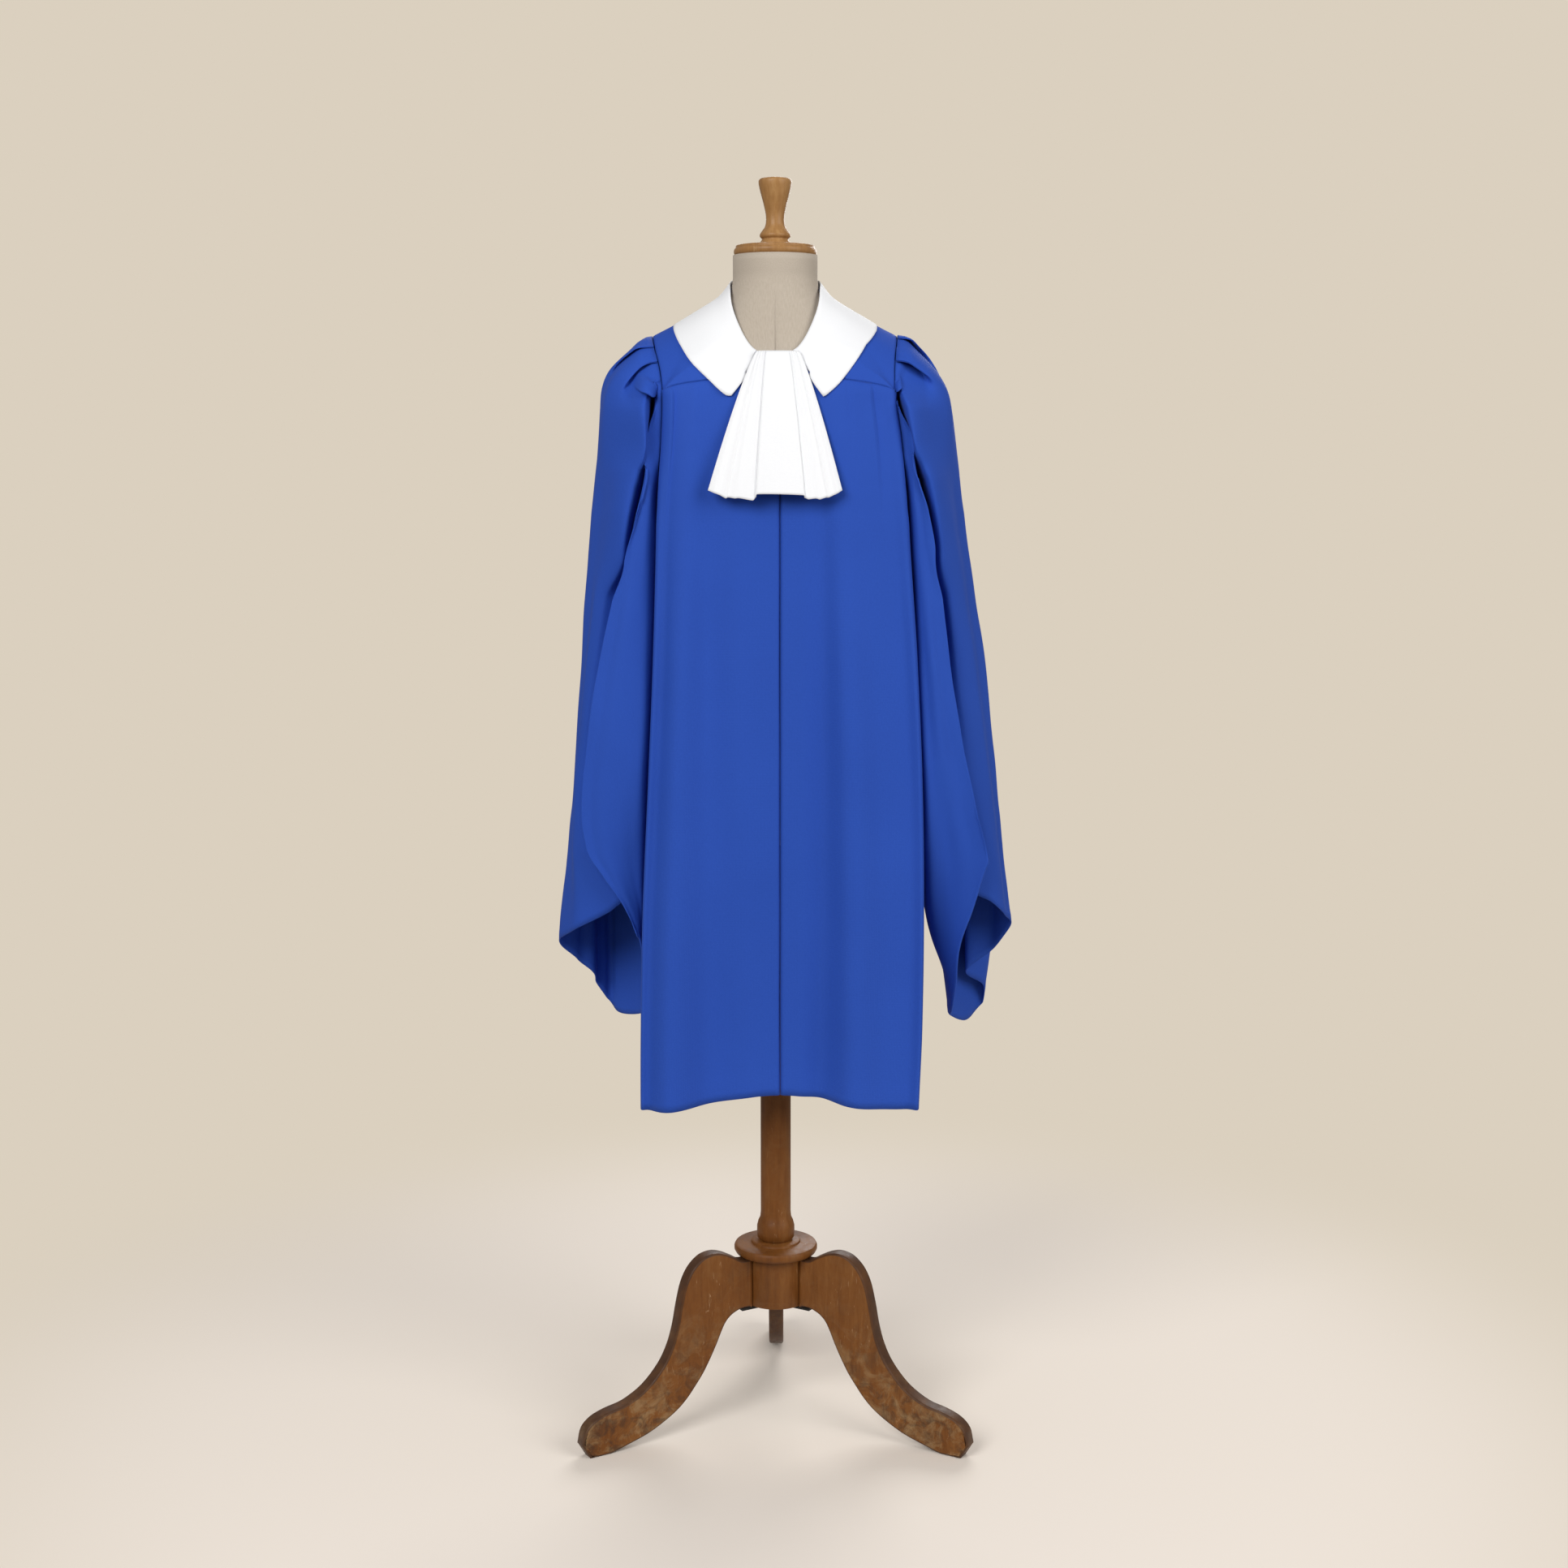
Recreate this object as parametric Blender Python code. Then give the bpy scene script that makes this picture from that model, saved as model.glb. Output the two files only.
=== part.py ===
# Choir dress on a wooden dress form: robe, sleeves, flat collar and pleated jabot.
# Metres, +Z up, the front faces -Y and +X is to the viewer's right.
# The shape is worked out round the stand's axis and then moved so that the
# middle of its bounding box's bottom is the origin.

import bpy
import math

# Colours and materials: slot name, base colour, roughness, metallic.
MATERIALS = {
    "blue_cloth": ((0.026, 0.078, 0.430), 0.85, 0.0),
    "white_cloth": ((0.900, 0.900, 0.920), 0.80, 0.0),
    "linen": ((0.500, 0.420, 0.330), 0.90, 0.0),
    "golden_wood": ((0.340, 0.170, 0.065), 0.35, 0.0),
    "brown_wood": ((0.170, 0.070, 0.025), 0.45, 0.0),
    "iron": ((0.030, 0.030, 0.032), 0.60, 0.8),
}

# Cloth sizes.
BLUE_WALL = 0.0014
WHITE_WALL = 0.0010
SEAM_GAP = 0.0003

# Body of the robe at the fronts' corners. Columns: height, left reach, right
# reach, front depth, corner depth, back depth.
BODY = [
    (1.372, 0.142, 0.146, 0.088, 0.074, 0.086),
    (1.337, 0.137, 0.146, 0.100, 0.085, 0.094),
    (1.285, 0.138, 0.153, 0.108, 0.091, 0.102),
    (1.223, 0.142, 0.159, 0.113, 0.096, 0.107),
    (1.183, 0.1445, 0.163, 0.115, 0.098, 0.108),
    (1.023, 0.1495, 0.174, 0.118, 0.102, 0.110),
    (0.860, 0.157, 0.182, 0.121, 0.105, 0.112),
    (0.694, 0.165, 0.185, 0.124, 0.108, 0.115),
    (0.547, 0.1685, 0.184, 0.126, 0.110, 0.118),
    (0.430, 0.1695, 0.180, 0.128, 0.111, 0.120),
]
CENTRE_X = 0.006
SIDE_RECESS = 0.012
HEM_CENTRE = 0.464
HEM_CORNER = 0.4490
HEM_BACK = 0.448

# Soft folds of the body. Columns: place at the yoke and at the hem as a share
# of the way from the centre to the corner, half width at the yoke and at the
# hem in metres, height at the yoke, at mid length and at the hem (out is +).
FRONT_FOLDS = {
    -1: [
        (0.02, 0.02, 0.020, 0.055, 0.0000, -0.0060, -0.0230),
        (0.33, 0.36, 0.018, 0.024, 0.0000, 0.0030, 0.0050),
        (0.66, 0.62, 0.012, 0.018, -0.0010, -0.0050, -0.0070),
        (0.80, 0.84, 0.010, 0.020, 0.0030, 0.0040, 0.0045),
    ],
    1: [
        (0.02, 0.02, 0.020, 0.055, 0.0000, -0.0060, -0.0230),
        (0.30, 0.33, 0.010, 0.015, 0.0005, 0.0050, 0.0070),
        (0.56, 0.56, 0.014, 0.024, -0.0010, -0.0050, -0.0060),
        (0.82, 0.84, 0.010, 0.022, 0.0030, 0.0040, 0.0045),
    ],
}
BACK_FLUTES = 7
BACK_FLUTE_YOKE = 0.0016
BACK_FLUTE_HEM = 0.0085

# Armhole seam below the yoke, on the body's own surface. Columns: place round
# the armhole, height, share of the panel's width at the front and at the back.
ARMHOLE_LOW = [
    (0.0, 1.1900, 1.000, 1.000),
    (0.5, 1.1925, 0.915, 0.915),
    (1.0, 1.2030, 0.800, 0.800),
    (2.0, 1.2450, 0.685, 0.680),
    (3.0, 1.2930, 0.667, 0.625),
    (4.0, 1.3385, 0.667, 0.600),
]
# Armhole seam over the shoulder. Columns: place, left x, right x, y, height.
ARMHOLE_HIGH = [
    (4.7, 0.1410, 0.1465, -0.066, 1.3650),
    (5.3, 0.1480, 0.1490, -0.040, 1.3900),
    (6.0, 0.1530, 0.1520, 0.000, 1.4085),
    (6.7, 0.1480, 0.1500, 0.038, 1.3930),
    (7.3, 0.1400, 0.1470, 0.064, 1.3680),
]

# Neckline, from centre front to centre back. Columns: half width, y, height,
# bulge of the shoulder surface outside it.
NECKLINE = [
    (0.0020, -0.0800, 1.3790, 0.0030),
    (0.0250, -0.0775, 1.3880, 0.0045),
    (0.0425, -0.0690, 1.4100, 0.0050),
    (0.0525, -0.0530, 1.4340, 0.0035),
    (0.0565, -0.0280, 1.4540, 0.0000),
    (0.0570, 0.0050, 1.4670, -0.0030),
    (0.0500, 0.0350, 1.4720, 0.0040),
    (0.0290, 0.0540, 1.4740, 0.0100),
    (0.0000, 0.0600, 1.4740, 0.0110),
]
# Yoke seams on the body's surface, corner to centre. Columns: share of the
# panel's width, height at the front, height at the back.
YOKE_SEAM = [
    (0.680, 1.3385, 1.3385),
    (0.450, 1.3480, 1.3340),
    (0.200, 1.3560, 1.3310),
    (0.000, 1.3600, 1.3300),
]
# Shares of the yoke's edge, centre front to centre back, where it leaves the
# front panel for the armhole and reaches the back panel.
YOKE_FRONT_END = 0.32
YOKE_BACK_START = 0.72
YOKE_SEAM_RISE = 0.00048

# Rows and columns of the body panels.
PANEL_TOP_ROWS = [1.322, 1.298, 1.270, 1.243, 1.220, 1.2045, 1.1945, 1.1900, 1.165]
PANEL_LOW_ROWS = [1.120, 1.036, 0.952, 0.869, 0.785, 0.701, 0.617, 0.533, 0.449]
FRONT_COLUMNS = [0.0, 0.10, 0.20, 0.30, 0.40, 0.50, 0.58, 0.66, 0.74, 0.82, 0.91, 1.0]
BACK_COLUMNS = 16
# The inner columns of a panel run straight down, and the outer ones follow the
# armhole: place among the columns and share of the panel's width where they part.
STRAIGHT_COLUMNS = 0.74
STRAIGHT_SHARE = 0.62

# Flat collar.
COLLAR_WIDTH = 0.078
COLLAR_LIFT = 0.0034
COLLAR_FRONT = 0.115
COLLAR_TIP = 0.118
COLLAR_STAND = 0.0055
COLLAR_ROLL = 0.0030
# Outer edge of the collar seen from the front, from its tip to the shoulder.
COLLAR_OUTLINE = [
    (0.0590, 1.3310), (0.0680, 1.3380), (0.0830, 1.3530), (0.1030, 1.3740),
    (0.1160, 1.3950), (0.1230, 1.4120), (0.1262, 1.4300),
]
COLLAR_SHARES = [0.0, 0.025, 0.06] + [0.10 + 0.06 * k for k in range(16)]
COLLAR_REACHES = [0.0, 0.12, 0.30, 0.52, 0.76, 1.0]
YOKE_REACHES = [0.0, 0.2, 0.4, 0.6, 0.8, 1.0]
YOKE_SHARES = [
    0.0, 0.055, 0.11, 0.165, 0.22, 0.27, 0.32, 0.37, 0.42, 0.47, 0.52,
    0.57, 0.62, 0.67, 0.72, 0.77, 0.82, 0.87, 0.915, 0.96, 1.0,
]
FORM_CLEAR = 0.0021
FORM_CLEAR_AWAY = 0.0060

# Sleeve lines seen from the front. Columns: height, distance from the middle of
# the line nearest the body, of the front layer's edge and of the outermost line.
SLEEVE_LINES = {
    -1: [
        (1.410, 0.150, 0.150, 0.176),
        (1.360, 0.142, 0.150, 0.205),
        (1.310, 0.140, 0.156, 0.217),
        (1.250, 0.141, 0.160, 0.224),
        (1.190, 0.142, 0.175, 0.231),
        (1.100, 0.145, 0.196, 0.239),
        (1.000, 0.148, 0.218, 0.246),
        (0.900, 0.153, 0.234, 0.253),
        (0.820, 0.158, 0.241, 0.260),
        (0.771, 0.161, 0.2345, 0.265),
        (0.748, 0.162, 0.2195, 0.268),
        (0.704, 0.164, 0.1905, 0.2735),
        (0.660, 0.166, 0.1730, 0.279),
        (0.530, 0.169, 0.1740, 0.280),
    ],
    1: [
        (1.410, 0.152, 0.152, 0.172),
        (1.360, 0.150, 0.154, 0.204),
        (1.310, 0.153, 0.162, 0.220),
        (1.250, 0.157, 0.174, 0.229),
        (1.190, 0.160, 0.190, 0.237),
        (1.100, 0.166, 0.203, 0.250),
        (1.000, 0.171, 0.216, 0.266),
        (0.900, 0.177, 0.233, 0.277),
        (0.820, 0.181, 0.251, 0.286),
        (0.770, 0.184, 0.264, 0.291),
        (0.700, 0.190, 0.268, 0.299),
        (0.650, 0.200, 0.262, 0.305),
        (0.600, 0.218, 0.258, 0.304),
        (0.520, 0.228, 0.256, 0.290),
    ],
}
# Fold lines round the sleeve, front first. Columns: name, place on the
# armhole (0 underarm, 6 shoulder), first line, second line, share between
# them, y at the head, at mid length and at the hem, height of the hem.
SLEEVE_FOLDS = {
    -1: [
        ("inner", 0.00, "body", "ridge", 0.00, 0.000, 0.002, 0.004, 0.560),
        ("inner front", 1.00, "body", "ridge", 0.10, -0.045, -0.042, -0.034, 0.606),
        ("front inside", 2.10, "body", "ridge", 0.38, -0.082, -0.078, -0.060, 0.640),
        ("front", 3.10, "body", "ridge", 0.74, -0.096, -0.096, -0.078, 0.660),
        ("ridge", 3.75, "body", "ridge", 1.00, -0.099, -0.101, -0.086, 0.668),
        ("valley", 4.15, "ridge", "body", 0.12, -0.070, -0.072, -0.068, 0.704),
        ("outer front", 4.60, "ridge", "outer", 0.30, -0.077, -0.066, -0.064, 0.690),
        ("outer side", 5.20, "ridge", "outer", 0.80, -0.050, -0.048, -0.048, 0.664),
        ("outer", 6.00, "ridge", "outer", 1.00, 0.000, -0.008, -0.006, 0.641),
        ("outer back", 6.90, "ridge", "outer", 0.84, 0.046, 0.036, 0.028, 0.611),
        ("back fold", 7.60, "ridge", "outer", 0.63, 0.072, 0.054, 0.040, 0.589),
        ("back ridge", 8.20, "ridge", "outer", 0.60, 0.084, 0.078, 0.060, 0.570),
        ("back", 9.20, "body", "outer", 0.49, 0.090, 0.090, 0.074, 0.544),
        ("back inside", 10.10, "body", "outer", 0.34, 0.086, 0.082, 0.068, 0.528),
        ("inner back", 11.10, "body", "outer", 0.06, 0.050, 0.050, 0.042, 0.534),
    ],
    1: [
        ("inner", 0.00, "body", "ridge", 0.00, 0.000, 0.002, 0.012, 0.545),
        ("inner front", 1.00, "body", "ridge", 0.10, -0.045, -0.042, -0.012, 0.553),
        ("front inside", 2.10, "body", "ridge", 0.38, -0.082, -0.078, -0.044, 0.604),
        ("front", 3.10, "body", "ridge", 0.62, -0.094, -0.094, -0.076, 0.680),
        ("ridge", 3.75, "body", "ridge", 1.00, -0.099, -0.101, -0.098, 0.757),
        ("valley", 4.15, "ridge", "body", 0.30, -0.072, -0.074, -0.070, 0.722),
        ("outer front", 4.60, "ridge", "outer", 0.20, -0.077, -0.064, -0.056, 0.702),
        ("outer side", 5.20, "ridge", "outer", 0.75, -0.050, -0.040, -0.034, 0.682),
        ("outer", 6.00, "ridge", "outer", 1.00, 0.000, -0.004, -0.004, 0.663),
        ("outer back", 6.90, "ridge", "outer", 0.55, 0.046, 0.040, 0.026, 0.624),
        ("back fold", 7.60, "ridge", "body", 0.20, 0.066, 0.056, 0.032, 0.592),
        ("back ridge", 8.20, "ridge", "outer", 0.46, 0.088, 0.080, 0.062, 0.566),
        ("back", 9.20, "ridge", "outer", 0.52, 0.094, 0.098, 0.080, 0.536),
        ("back inside", 10.10, "body", "outer", 0.40, 0.084, 0.086, 0.064, 0.519),
        ("inner back", 11.10, "body", "outer", 0.06, 0.046, 0.046, 0.034, 0.532),
    ],
}
# Knife tucks at the sleeve head. Columns: place of the folded edge on the
# armhole, width in armhole places, height, share of the sleeve they run down.
TUCKS = [
    (4.40, 0.50, 0.0085, 0.13),
    (4.92, 0.50, 0.0080, 0.11),
    (5.42, 0.50, 0.0070, 0.14),
]
SHOULDER_DROP = 0.075
SIDE_DROP = 0.050
SLEEVE_START = 0.0008
SLEEVE_CLEAR = 0.0030
SLEEVE_ROWS = [
    0.0, 0.010, 0.030, 0.060, 0.095, 0.135, 0.185, 0.24, 0.31, 0.39, 0.47, 0.56, 0.65,
    0.74, 0.82, 0.89, 0.95, 1.0,
]

# Jabot folds from left to right. Columns: x at the top, x at the bottom,
# depth behind the front panel at the top and at the bottom, height of the hem.
JABOT_FOLDS = [
    (-0.0220, -0.0805, 0.0060, 0.0150, 1.2195),
    (-0.0190, -0.0640, 0.0050, 0.0100, 1.2120),
    (-0.0175, -0.0525, 0.0040, 0.0075, 1.2085),
    (-0.0120, -0.0590, 0.0060, 0.0105, 1.2105),
    (-0.0140, -0.0400, 0.0045, 0.0062, 1.2090),
    (-0.0125, -0.0225, 0.0022, 0.0035, 1.2075),
    (-0.0070, -0.0300, 0.0042, 0.0068, 1.2100),
    (-0.0105, -0.0210, 0.0000, 0.0010, 1.2150),
    (0.0040, 0.0080, -0.0006, -0.0012, 1.2140),
    (0.0165, 0.0350, 0.0000, 0.0010, 1.2140),
    (0.0130, 0.0420, 0.0042, 0.0068, 1.2100),
    (0.0185, 0.0400, 0.0022, 0.0035, 1.2085),
    (0.0205, 0.0555, 0.0040, 0.0060, 1.2090),
    (0.0175, 0.0600, 0.0060, 0.0100, 1.2110),
    (0.0240, 0.0640, 0.0045, 0.0080, 1.2115),
    (0.0265, 0.0720, 0.0050, 0.0110, 1.2150),
    (0.0290, 0.0810, 0.0060, 0.0150, 1.2195),
]
JABOT_TOP = 1.3865
JABOT_TOP_Y = -0.0915
JABOT_BOTTOM_Y = -0.1400
JABOT_ROWS = 6

# Dress form below the shoulders. Columns: height, half width, front, back.
FORM = [
    (1.300, 0.1260, 0.0900, 0.0860),
    (1.240, 0.1220, 0.0960, 0.0860),
    (1.180, 0.1220, 0.0980, 0.0830),
    (1.100, 0.1150, 0.0880, 0.0770),
    (1.020, 0.1100, 0.0800, 0.0740),
    (0.950, 0.1200, 0.0860, 0.0820),
    (0.880, 0.1300, 0.0910, 0.0900),
    (0.820, 0.1290, 0.0890, 0.0890),
    (0.790, 0.1200, 0.0820, 0.0820),
    (0.776, 0.0900, 0.0620, 0.0620),
]
FORM_BOTTOM = 0.7735
NECK_RADIUS = 0.0525
NECK_TOP = 1.5063

# Turned and sawn wood.
FINIAL = [
    (1.5195, 0.0185), (1.5215, 0.0192), (1.5245, 0.0172), (1.5265, 0.0165),
    (1.5290, 0.0188), (1.5320, 0.0190), (1.5360, 0.0165), (1.5410, 0.0130),
    (1.5470, 0.0115), (1.5560, 0.0117), (1.5680, 0.0142), (1.5790, 0.0172),
    (1.5880, 0.0195), (1.5940, 0.0205), (1.5975, 0.0200), (1.5995, 0.0170),
]
FINIAL_TOP = 1.6000
CAP = [
    (1.5066, 0.0490), (1.5082, 0.0508), (1.5112, 0.0514), (1.5140, 0.0506),
    (1.5152, 0.0492), (1.5168, 0.0488), (1.5186, 0.0462),
]
CAP_TOP = 1.5192
POLE = [
    (0.2398, 0.0215), (0.2430, 0.0240), (0.2500, 0.0247), (0.2580, 0.0246),
    (0.2650, 0.0228), (0.2700, 0.0204), (0.2780, 0.0197), (0.4500, 0.0197),
    (0.7731, 0.0197),
]
RING = [
    (0.2220, 0.0490), (0.2238, 0.0528), (0.2272, 0.0546), (0.2310, 0.0546),
    (0.2340, 0.0530), (0.2352, 0.0500), (0.2352, 0.0345), (0.2360, 0.0325),
    (0.2384, 0.0318), (0.2395, 0.0300),
]
RING_TOP = 0.2395
HUB_BOTTOM = 0.1560
HUB_TOP = 0.2217
HUB_RADIUS = 0.0407
PLATE_BOTTOM = 0.1524
PLATE_TOP = 0.1557
PLATE_REACH = 0.0553
PLATE_ARM = 0.0085
LEG_ANGLES = {"leg_right": -30.0, "leg_left": 210.0, "leg_back": 90.0}
LEG_THICK = 0.0200
LEG_ROUND = 0.0030
# Leg outline, root to toe. Columns: upper radius and height, lower radius and
# height.
LEG = [
    (0.0411, 0.2213, 0.0411, 0.1562),
    (0.0552, 0.2213, 0.0560, 0.1562),
    (0.0655, 0.2270, 0.0660, 0.1530),
    (0.0800, 0.2345, 0.0730, 0.1490),
    (0.0925, 0.2380, 0.0800, 0.1420),
    (0.1040, 0.2375, 0.0860, 0.1310),
    (0.1150, 0.2335, 0.0920, 0.1180),
    (0.1280, 0.2220, 0.0975, 0.1070),
    (0.1380, 0.2040, 0.1040, 0.0950),
    (0.1450, 0.1780, 0.1130, 0.0800),
    (0.1510, 0.1480, 0.1240, 0.0655),
    (0.1590, 0.1230, 0.1370, 0.0500),
    (0.1720, 0.1000, 0.1520, 0.0370),
    (0.1950, 0.0765, 0.1720, 0.0250),
    (0.2230, 0.0615, 0.1950, 0.0145),
    (0.2490, 0.0560, 0.2220, 0.0065),
    (0.2690, 0.0490, 0.2480, 0.0000),
    (0.2820, 0.0370, 0.2640, 0.0000),
    (0.2868, 0.0180, 0.2760, 0.0000),
]

# Small maths.


def mix(a, b, t):
    return a + (b - a) * t


def mix_points(a, b, t):
    return tuple(mix(p, q, t) for p, q in zip(a, b))


def smooth(t):
    t = min(max(t, 0.0), 1.0)
    return t * t * (3.0 - 2.0 * t)


def bump(t):
    if abs(t) >= 1.0:
        return 0.0
    return 0.5 + 0.5 * math.cos(math.pi * t)


def cubic(p0, p1, p2, p3, t):
    parts = []
    for a, b, c, d in zip(p0, p1, p2, p3):
        m1 = 0.5 * (c - a)
        m2 = 0.5 * (d - b)
        t2 = t * t
        t3 = t2 * t
        first = (2 * t3 - 3 * t2 + 1) * b + (t3 - 2 * t2 + t) * m1
        parts.append(first + (3 * t2 - 2 * t3) * c + (t3 - t2) * m2)
    return tuple(parts)


def along(points, t, closed=False):
    """Smooth curve through the points; t counts in points."""
    count = len(points)
    if closed:
        i = int(math.floor(t)) % count
        t = t - math.floor(t)
        return cubic(points[i - 1], points[i], points[(i + 1) % count], points[(i + 2) % count], t)
    i = min(max(int(math.floor(t)), 0), count - 2)
    before = points[i - 1] if i > 0 else mix_points(points[1], points[0], 2.0)
    after = points[i + 2] if i + 2 < count else mix_points(points[-2], points[-1], 2.0)
    return cubic(before, points[i], points[i + 1], after, t - i)


def by_height(rows, z):
    """Table row at a height, smoothly between rows listed from the top down."""
    if z >= rows[0][0]:
        return rows[0]
    if z <= rows[-1][0]:
        return rows[-1]
    for i in range(len(rows) - 1):
        if z >= rows[i + 1][0]:
            t = (rows[i][0] - z) / (rows[i][0] - rows[i + 1][0])
            low = max(i - 1, 0)
            high = min(i + 2, len(rows) - 1)
            return cubic(rows[low], rows[i], rows[i + 1], rows[high], t)
    return rows[-1]


def cross(a, b):
    return (a[1] * b[2] - a[2] * b[1], a[2] * b[0] - a[0] * b[2], a[0] * b[1] - a[1] * b[0])


def minus(a, b):
    return (a[0] - b[0], a[1] - b[1], a[2] - b[2])


def unit(a):
    size = math.sqrt(a[0] ** 2 + a[1] ** 2 + a[2] ** 2)
    if size < 1e-12:
        return (0.0, 0.0, 0.0)
    return (a[0] / size, a[1] / size, a[2] / size)


def moved(point, way, distance):
    return tuple(p + w * distance for p, w in zip(point, way))


# Making of meshes.

materials = {}


def material(name):
    if name not in materials:
        colour, roughness, metallic = MATERIALS[name]
        made = bpy.data.materials.new(name)
        made.use_nodes = True
        shader = made.node_tree.nodes["Principled BSDF"]
        shader.inputs["Base Color"].default_value = (*colour, 1.0)
        shader.inputs["Roughness"].default_value = roughness
        shader.inputs["Metallic"].default_value = metallic
        materials[name] = made
    return materials[name]


def volume_of(points, faces):
    total = 0.0
    for a, b, c in faces:
        p, q, r = points[a], points[b], points[c]
        n = cross(q, r)
        total += p[0] * n[0] + p[1] * n[1] + p[2] * n[2]
    return total / 6.0


nodes = []


def add_node(name, points, faces, slot, parent):
    if volume_of(points, faces) < 0.0:
        faces = [(a, c, b) for a, b, c in faces]
    nodes.append((name, points, faces, slot, parent))


def make_nodes():
    """Make the objects, with the middle of the bounding box's bottom at the origin."""
    every = [p for node in nodes for p in node[1]]
    middle = [0.5 * (min(p[k] for p in every) + max(p[k] for p in every)) for k in (0, 1)]
    low = min(p[2] for p in every)
    for name, points, faces, slot, parent in nodes:
        mesh = bpy.data.meshes.new(name)
        mesh.from_pydata([(x - middle[0], y - middle[1], z - low) for x, y, z in points], [], faces)
        mesh.materials.append(material(slot))
        mesh.update()
        made = bpy.data.objects.new(name, mesh)
        bpy.context.scene.collection.objects.link(made)
        made.parent = parent


def grid_normals(grid, closed):
    """Normals of a grid of points, from its rows and columns."""
    rows = len(grid)
    columns = len(grid[0])
    normals = []
    for i in range(rows):
        line = []
        for j in range(columns):
            if closed:
                left = grid[i][(j - 1) % columns]
                right = grid[i][(j + 1) % columns]
            else:
                left = grid[i][max(j - 1, 0)]
                right = grid[i][min(j + 1, columns - 1)]
            up = grid[max(i - 1, 0)][j]
            down = grid[min(i + 1, rows - 1)][j]
            line.append(unit(cross(minus(right, left), minus(down, up))))
        normals.append(line)
    return normals


def quad(faces, a, b, c, d):
    faces.append((a, b, c))
    faces.append((a, c, d))


def sheet(name, grid, wall, slot, parent, closed=False, flip=False, seams=None):
    """A cloth of even thickness: the grid is its outer side. Seams give the
    outward way at the grid points that meet another piece."""
    rows = len(grid)
    columns = len(grid[0])
    normals = grid_normals(grid, closed)
    side = 1.0 if flip else -1.0
    for place, way in (seams or {}).items():
        normals[place[0]][place[1]] = tuple(-side * w for w in way)
    points = [p for line in grid for p in line]
    for i in range(rows):
        for j in range(columns):
            points.append(moved(grid[i][j], normals[i][j], side * wall))
    back = rows * columns
    faces = []
    last = columns if closed else columns - 1
    for i in range(rows - 1):
        for j in range(last):
            a = i * columns + j
            b = i * columns + (j + 1) % columns
            c = b + columns
            d = a + columns
            quad(faces, a, b, c, d)
            quad(faces, back + d, back + c, back + b, back + a)
    for j in range(last):
        a = j
        b = (j + 1) % columns
        quad(faces, back + a, back + b, b, a)
        a += (rows - 1) * columns
        b += (rows - 1) * columns
        quad(faces, a, b, back + b, back + a)
    if not closed:
        for i in range(rows - 1):
            a = i * columns
            b = a + columns
            quad(faces, a, b, back + b, back + a)
            a += columns - 1
            b += columns - 1
            quad(faces, back + a, back + b, b, a)
    add_node(name, points, faces, slot, parent)


def closed_loft(name, rings, slot, parent):
    """A filled solid through closed rings with a point in the middle of each end."""
    count = len(rings[0])
    points = [p for ring in rings for p in ring]
    faces = []
    for i in range(len(rings) - 1):
        for j in range(count):
            a = i * count + j
            b = i * count + (j + 1) % count
            quad(faces, a, b, b + count, a + count)
    for ring, start, turn in ((rings[0], 0, True), (rings[-1], (len(rings) - 1) * count, False)):
        middle = tuple(sum(p[k] for p in ring) / count for k in range(3))
        points.append(middle)
        tip = len(points) - 1
        for j in range(count):
            a = start + j
            b = start + (j + 1) % count
            faces.append((tip, b, a) if turn else (tip, a, b))
    add_node(name, points, faces, slot, parent)


def turned(name, profile, top, steps, slot, parent):
    """A turned solid from rows of height and radius, with a flat or low top."""
    rings = []
    for z, radius in profile:
        ring = []
        for j in range(steps):
            angle = 2.0 * math.pi * j / steps
            ring.append((radius * math.cos(angle), radius * math.sin(angle), z))
        rings.append(ring)
    if top > profile[-1][0] + 1e-6:
        radius = profile[-1][1] * 0.55
        ring = []
        for j in range(steps):
            angle = 2.0 * math.pi * j / steps
            ring.append((radius * math.cos(angle), radius * math.sin(angle), top))
        rings.append(ring)
    closed_loft(name, rings, slot, parent)


# Shapes of the cloth.


def body_section(side, share, z, back=False):
    """Plain body at a height: share 0 at the centre, 1 at the side seam."""
    row = by_height(BODY, z)
    reach = row[1] if side < 0 else row[2]
    seam = (side * (reach - SIDE_RECESS), 0.0)
    turn = (side * (reach - SIDE_RECESS + 0.003), 0.030 if back else -0.030)
    if back:
        depth = row[5]
        corner = (side * (reach - 0.003), depth - 0.030)
        points = [
            (0.0, depth), (side * reach * 0.30, depth - 0.0005), (side * reach * 0.60, depth - 0.003),
            (side * (reach - 0.020), depth - 0.011), corner, turn, seam,
        ]
    else:
        depth = row[3]
        corner = (side * reach, -row[4])
        points = [
            (CENTRE_X, -depth), (mix(CENTRE_X, side * reach, 0.30), -depth),
            (mix(CENTRE_X, side * reach, 0.60), 0.001 - depth), (side * (reach - 0.018), 0.005 - depth),
            corner, turn, seam,
        ]
    return along(points, share * 6.0)


def table_place(rows, value):
    for i in range(len(rows) - 1):
        if value <= rows[i + 1][0] or i == len(rows) - 2:
            return along(rows, i + (value - rows[i][0]) / (rows[i + 1][0] - rows[i][0]))
    return rows[-1]


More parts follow.
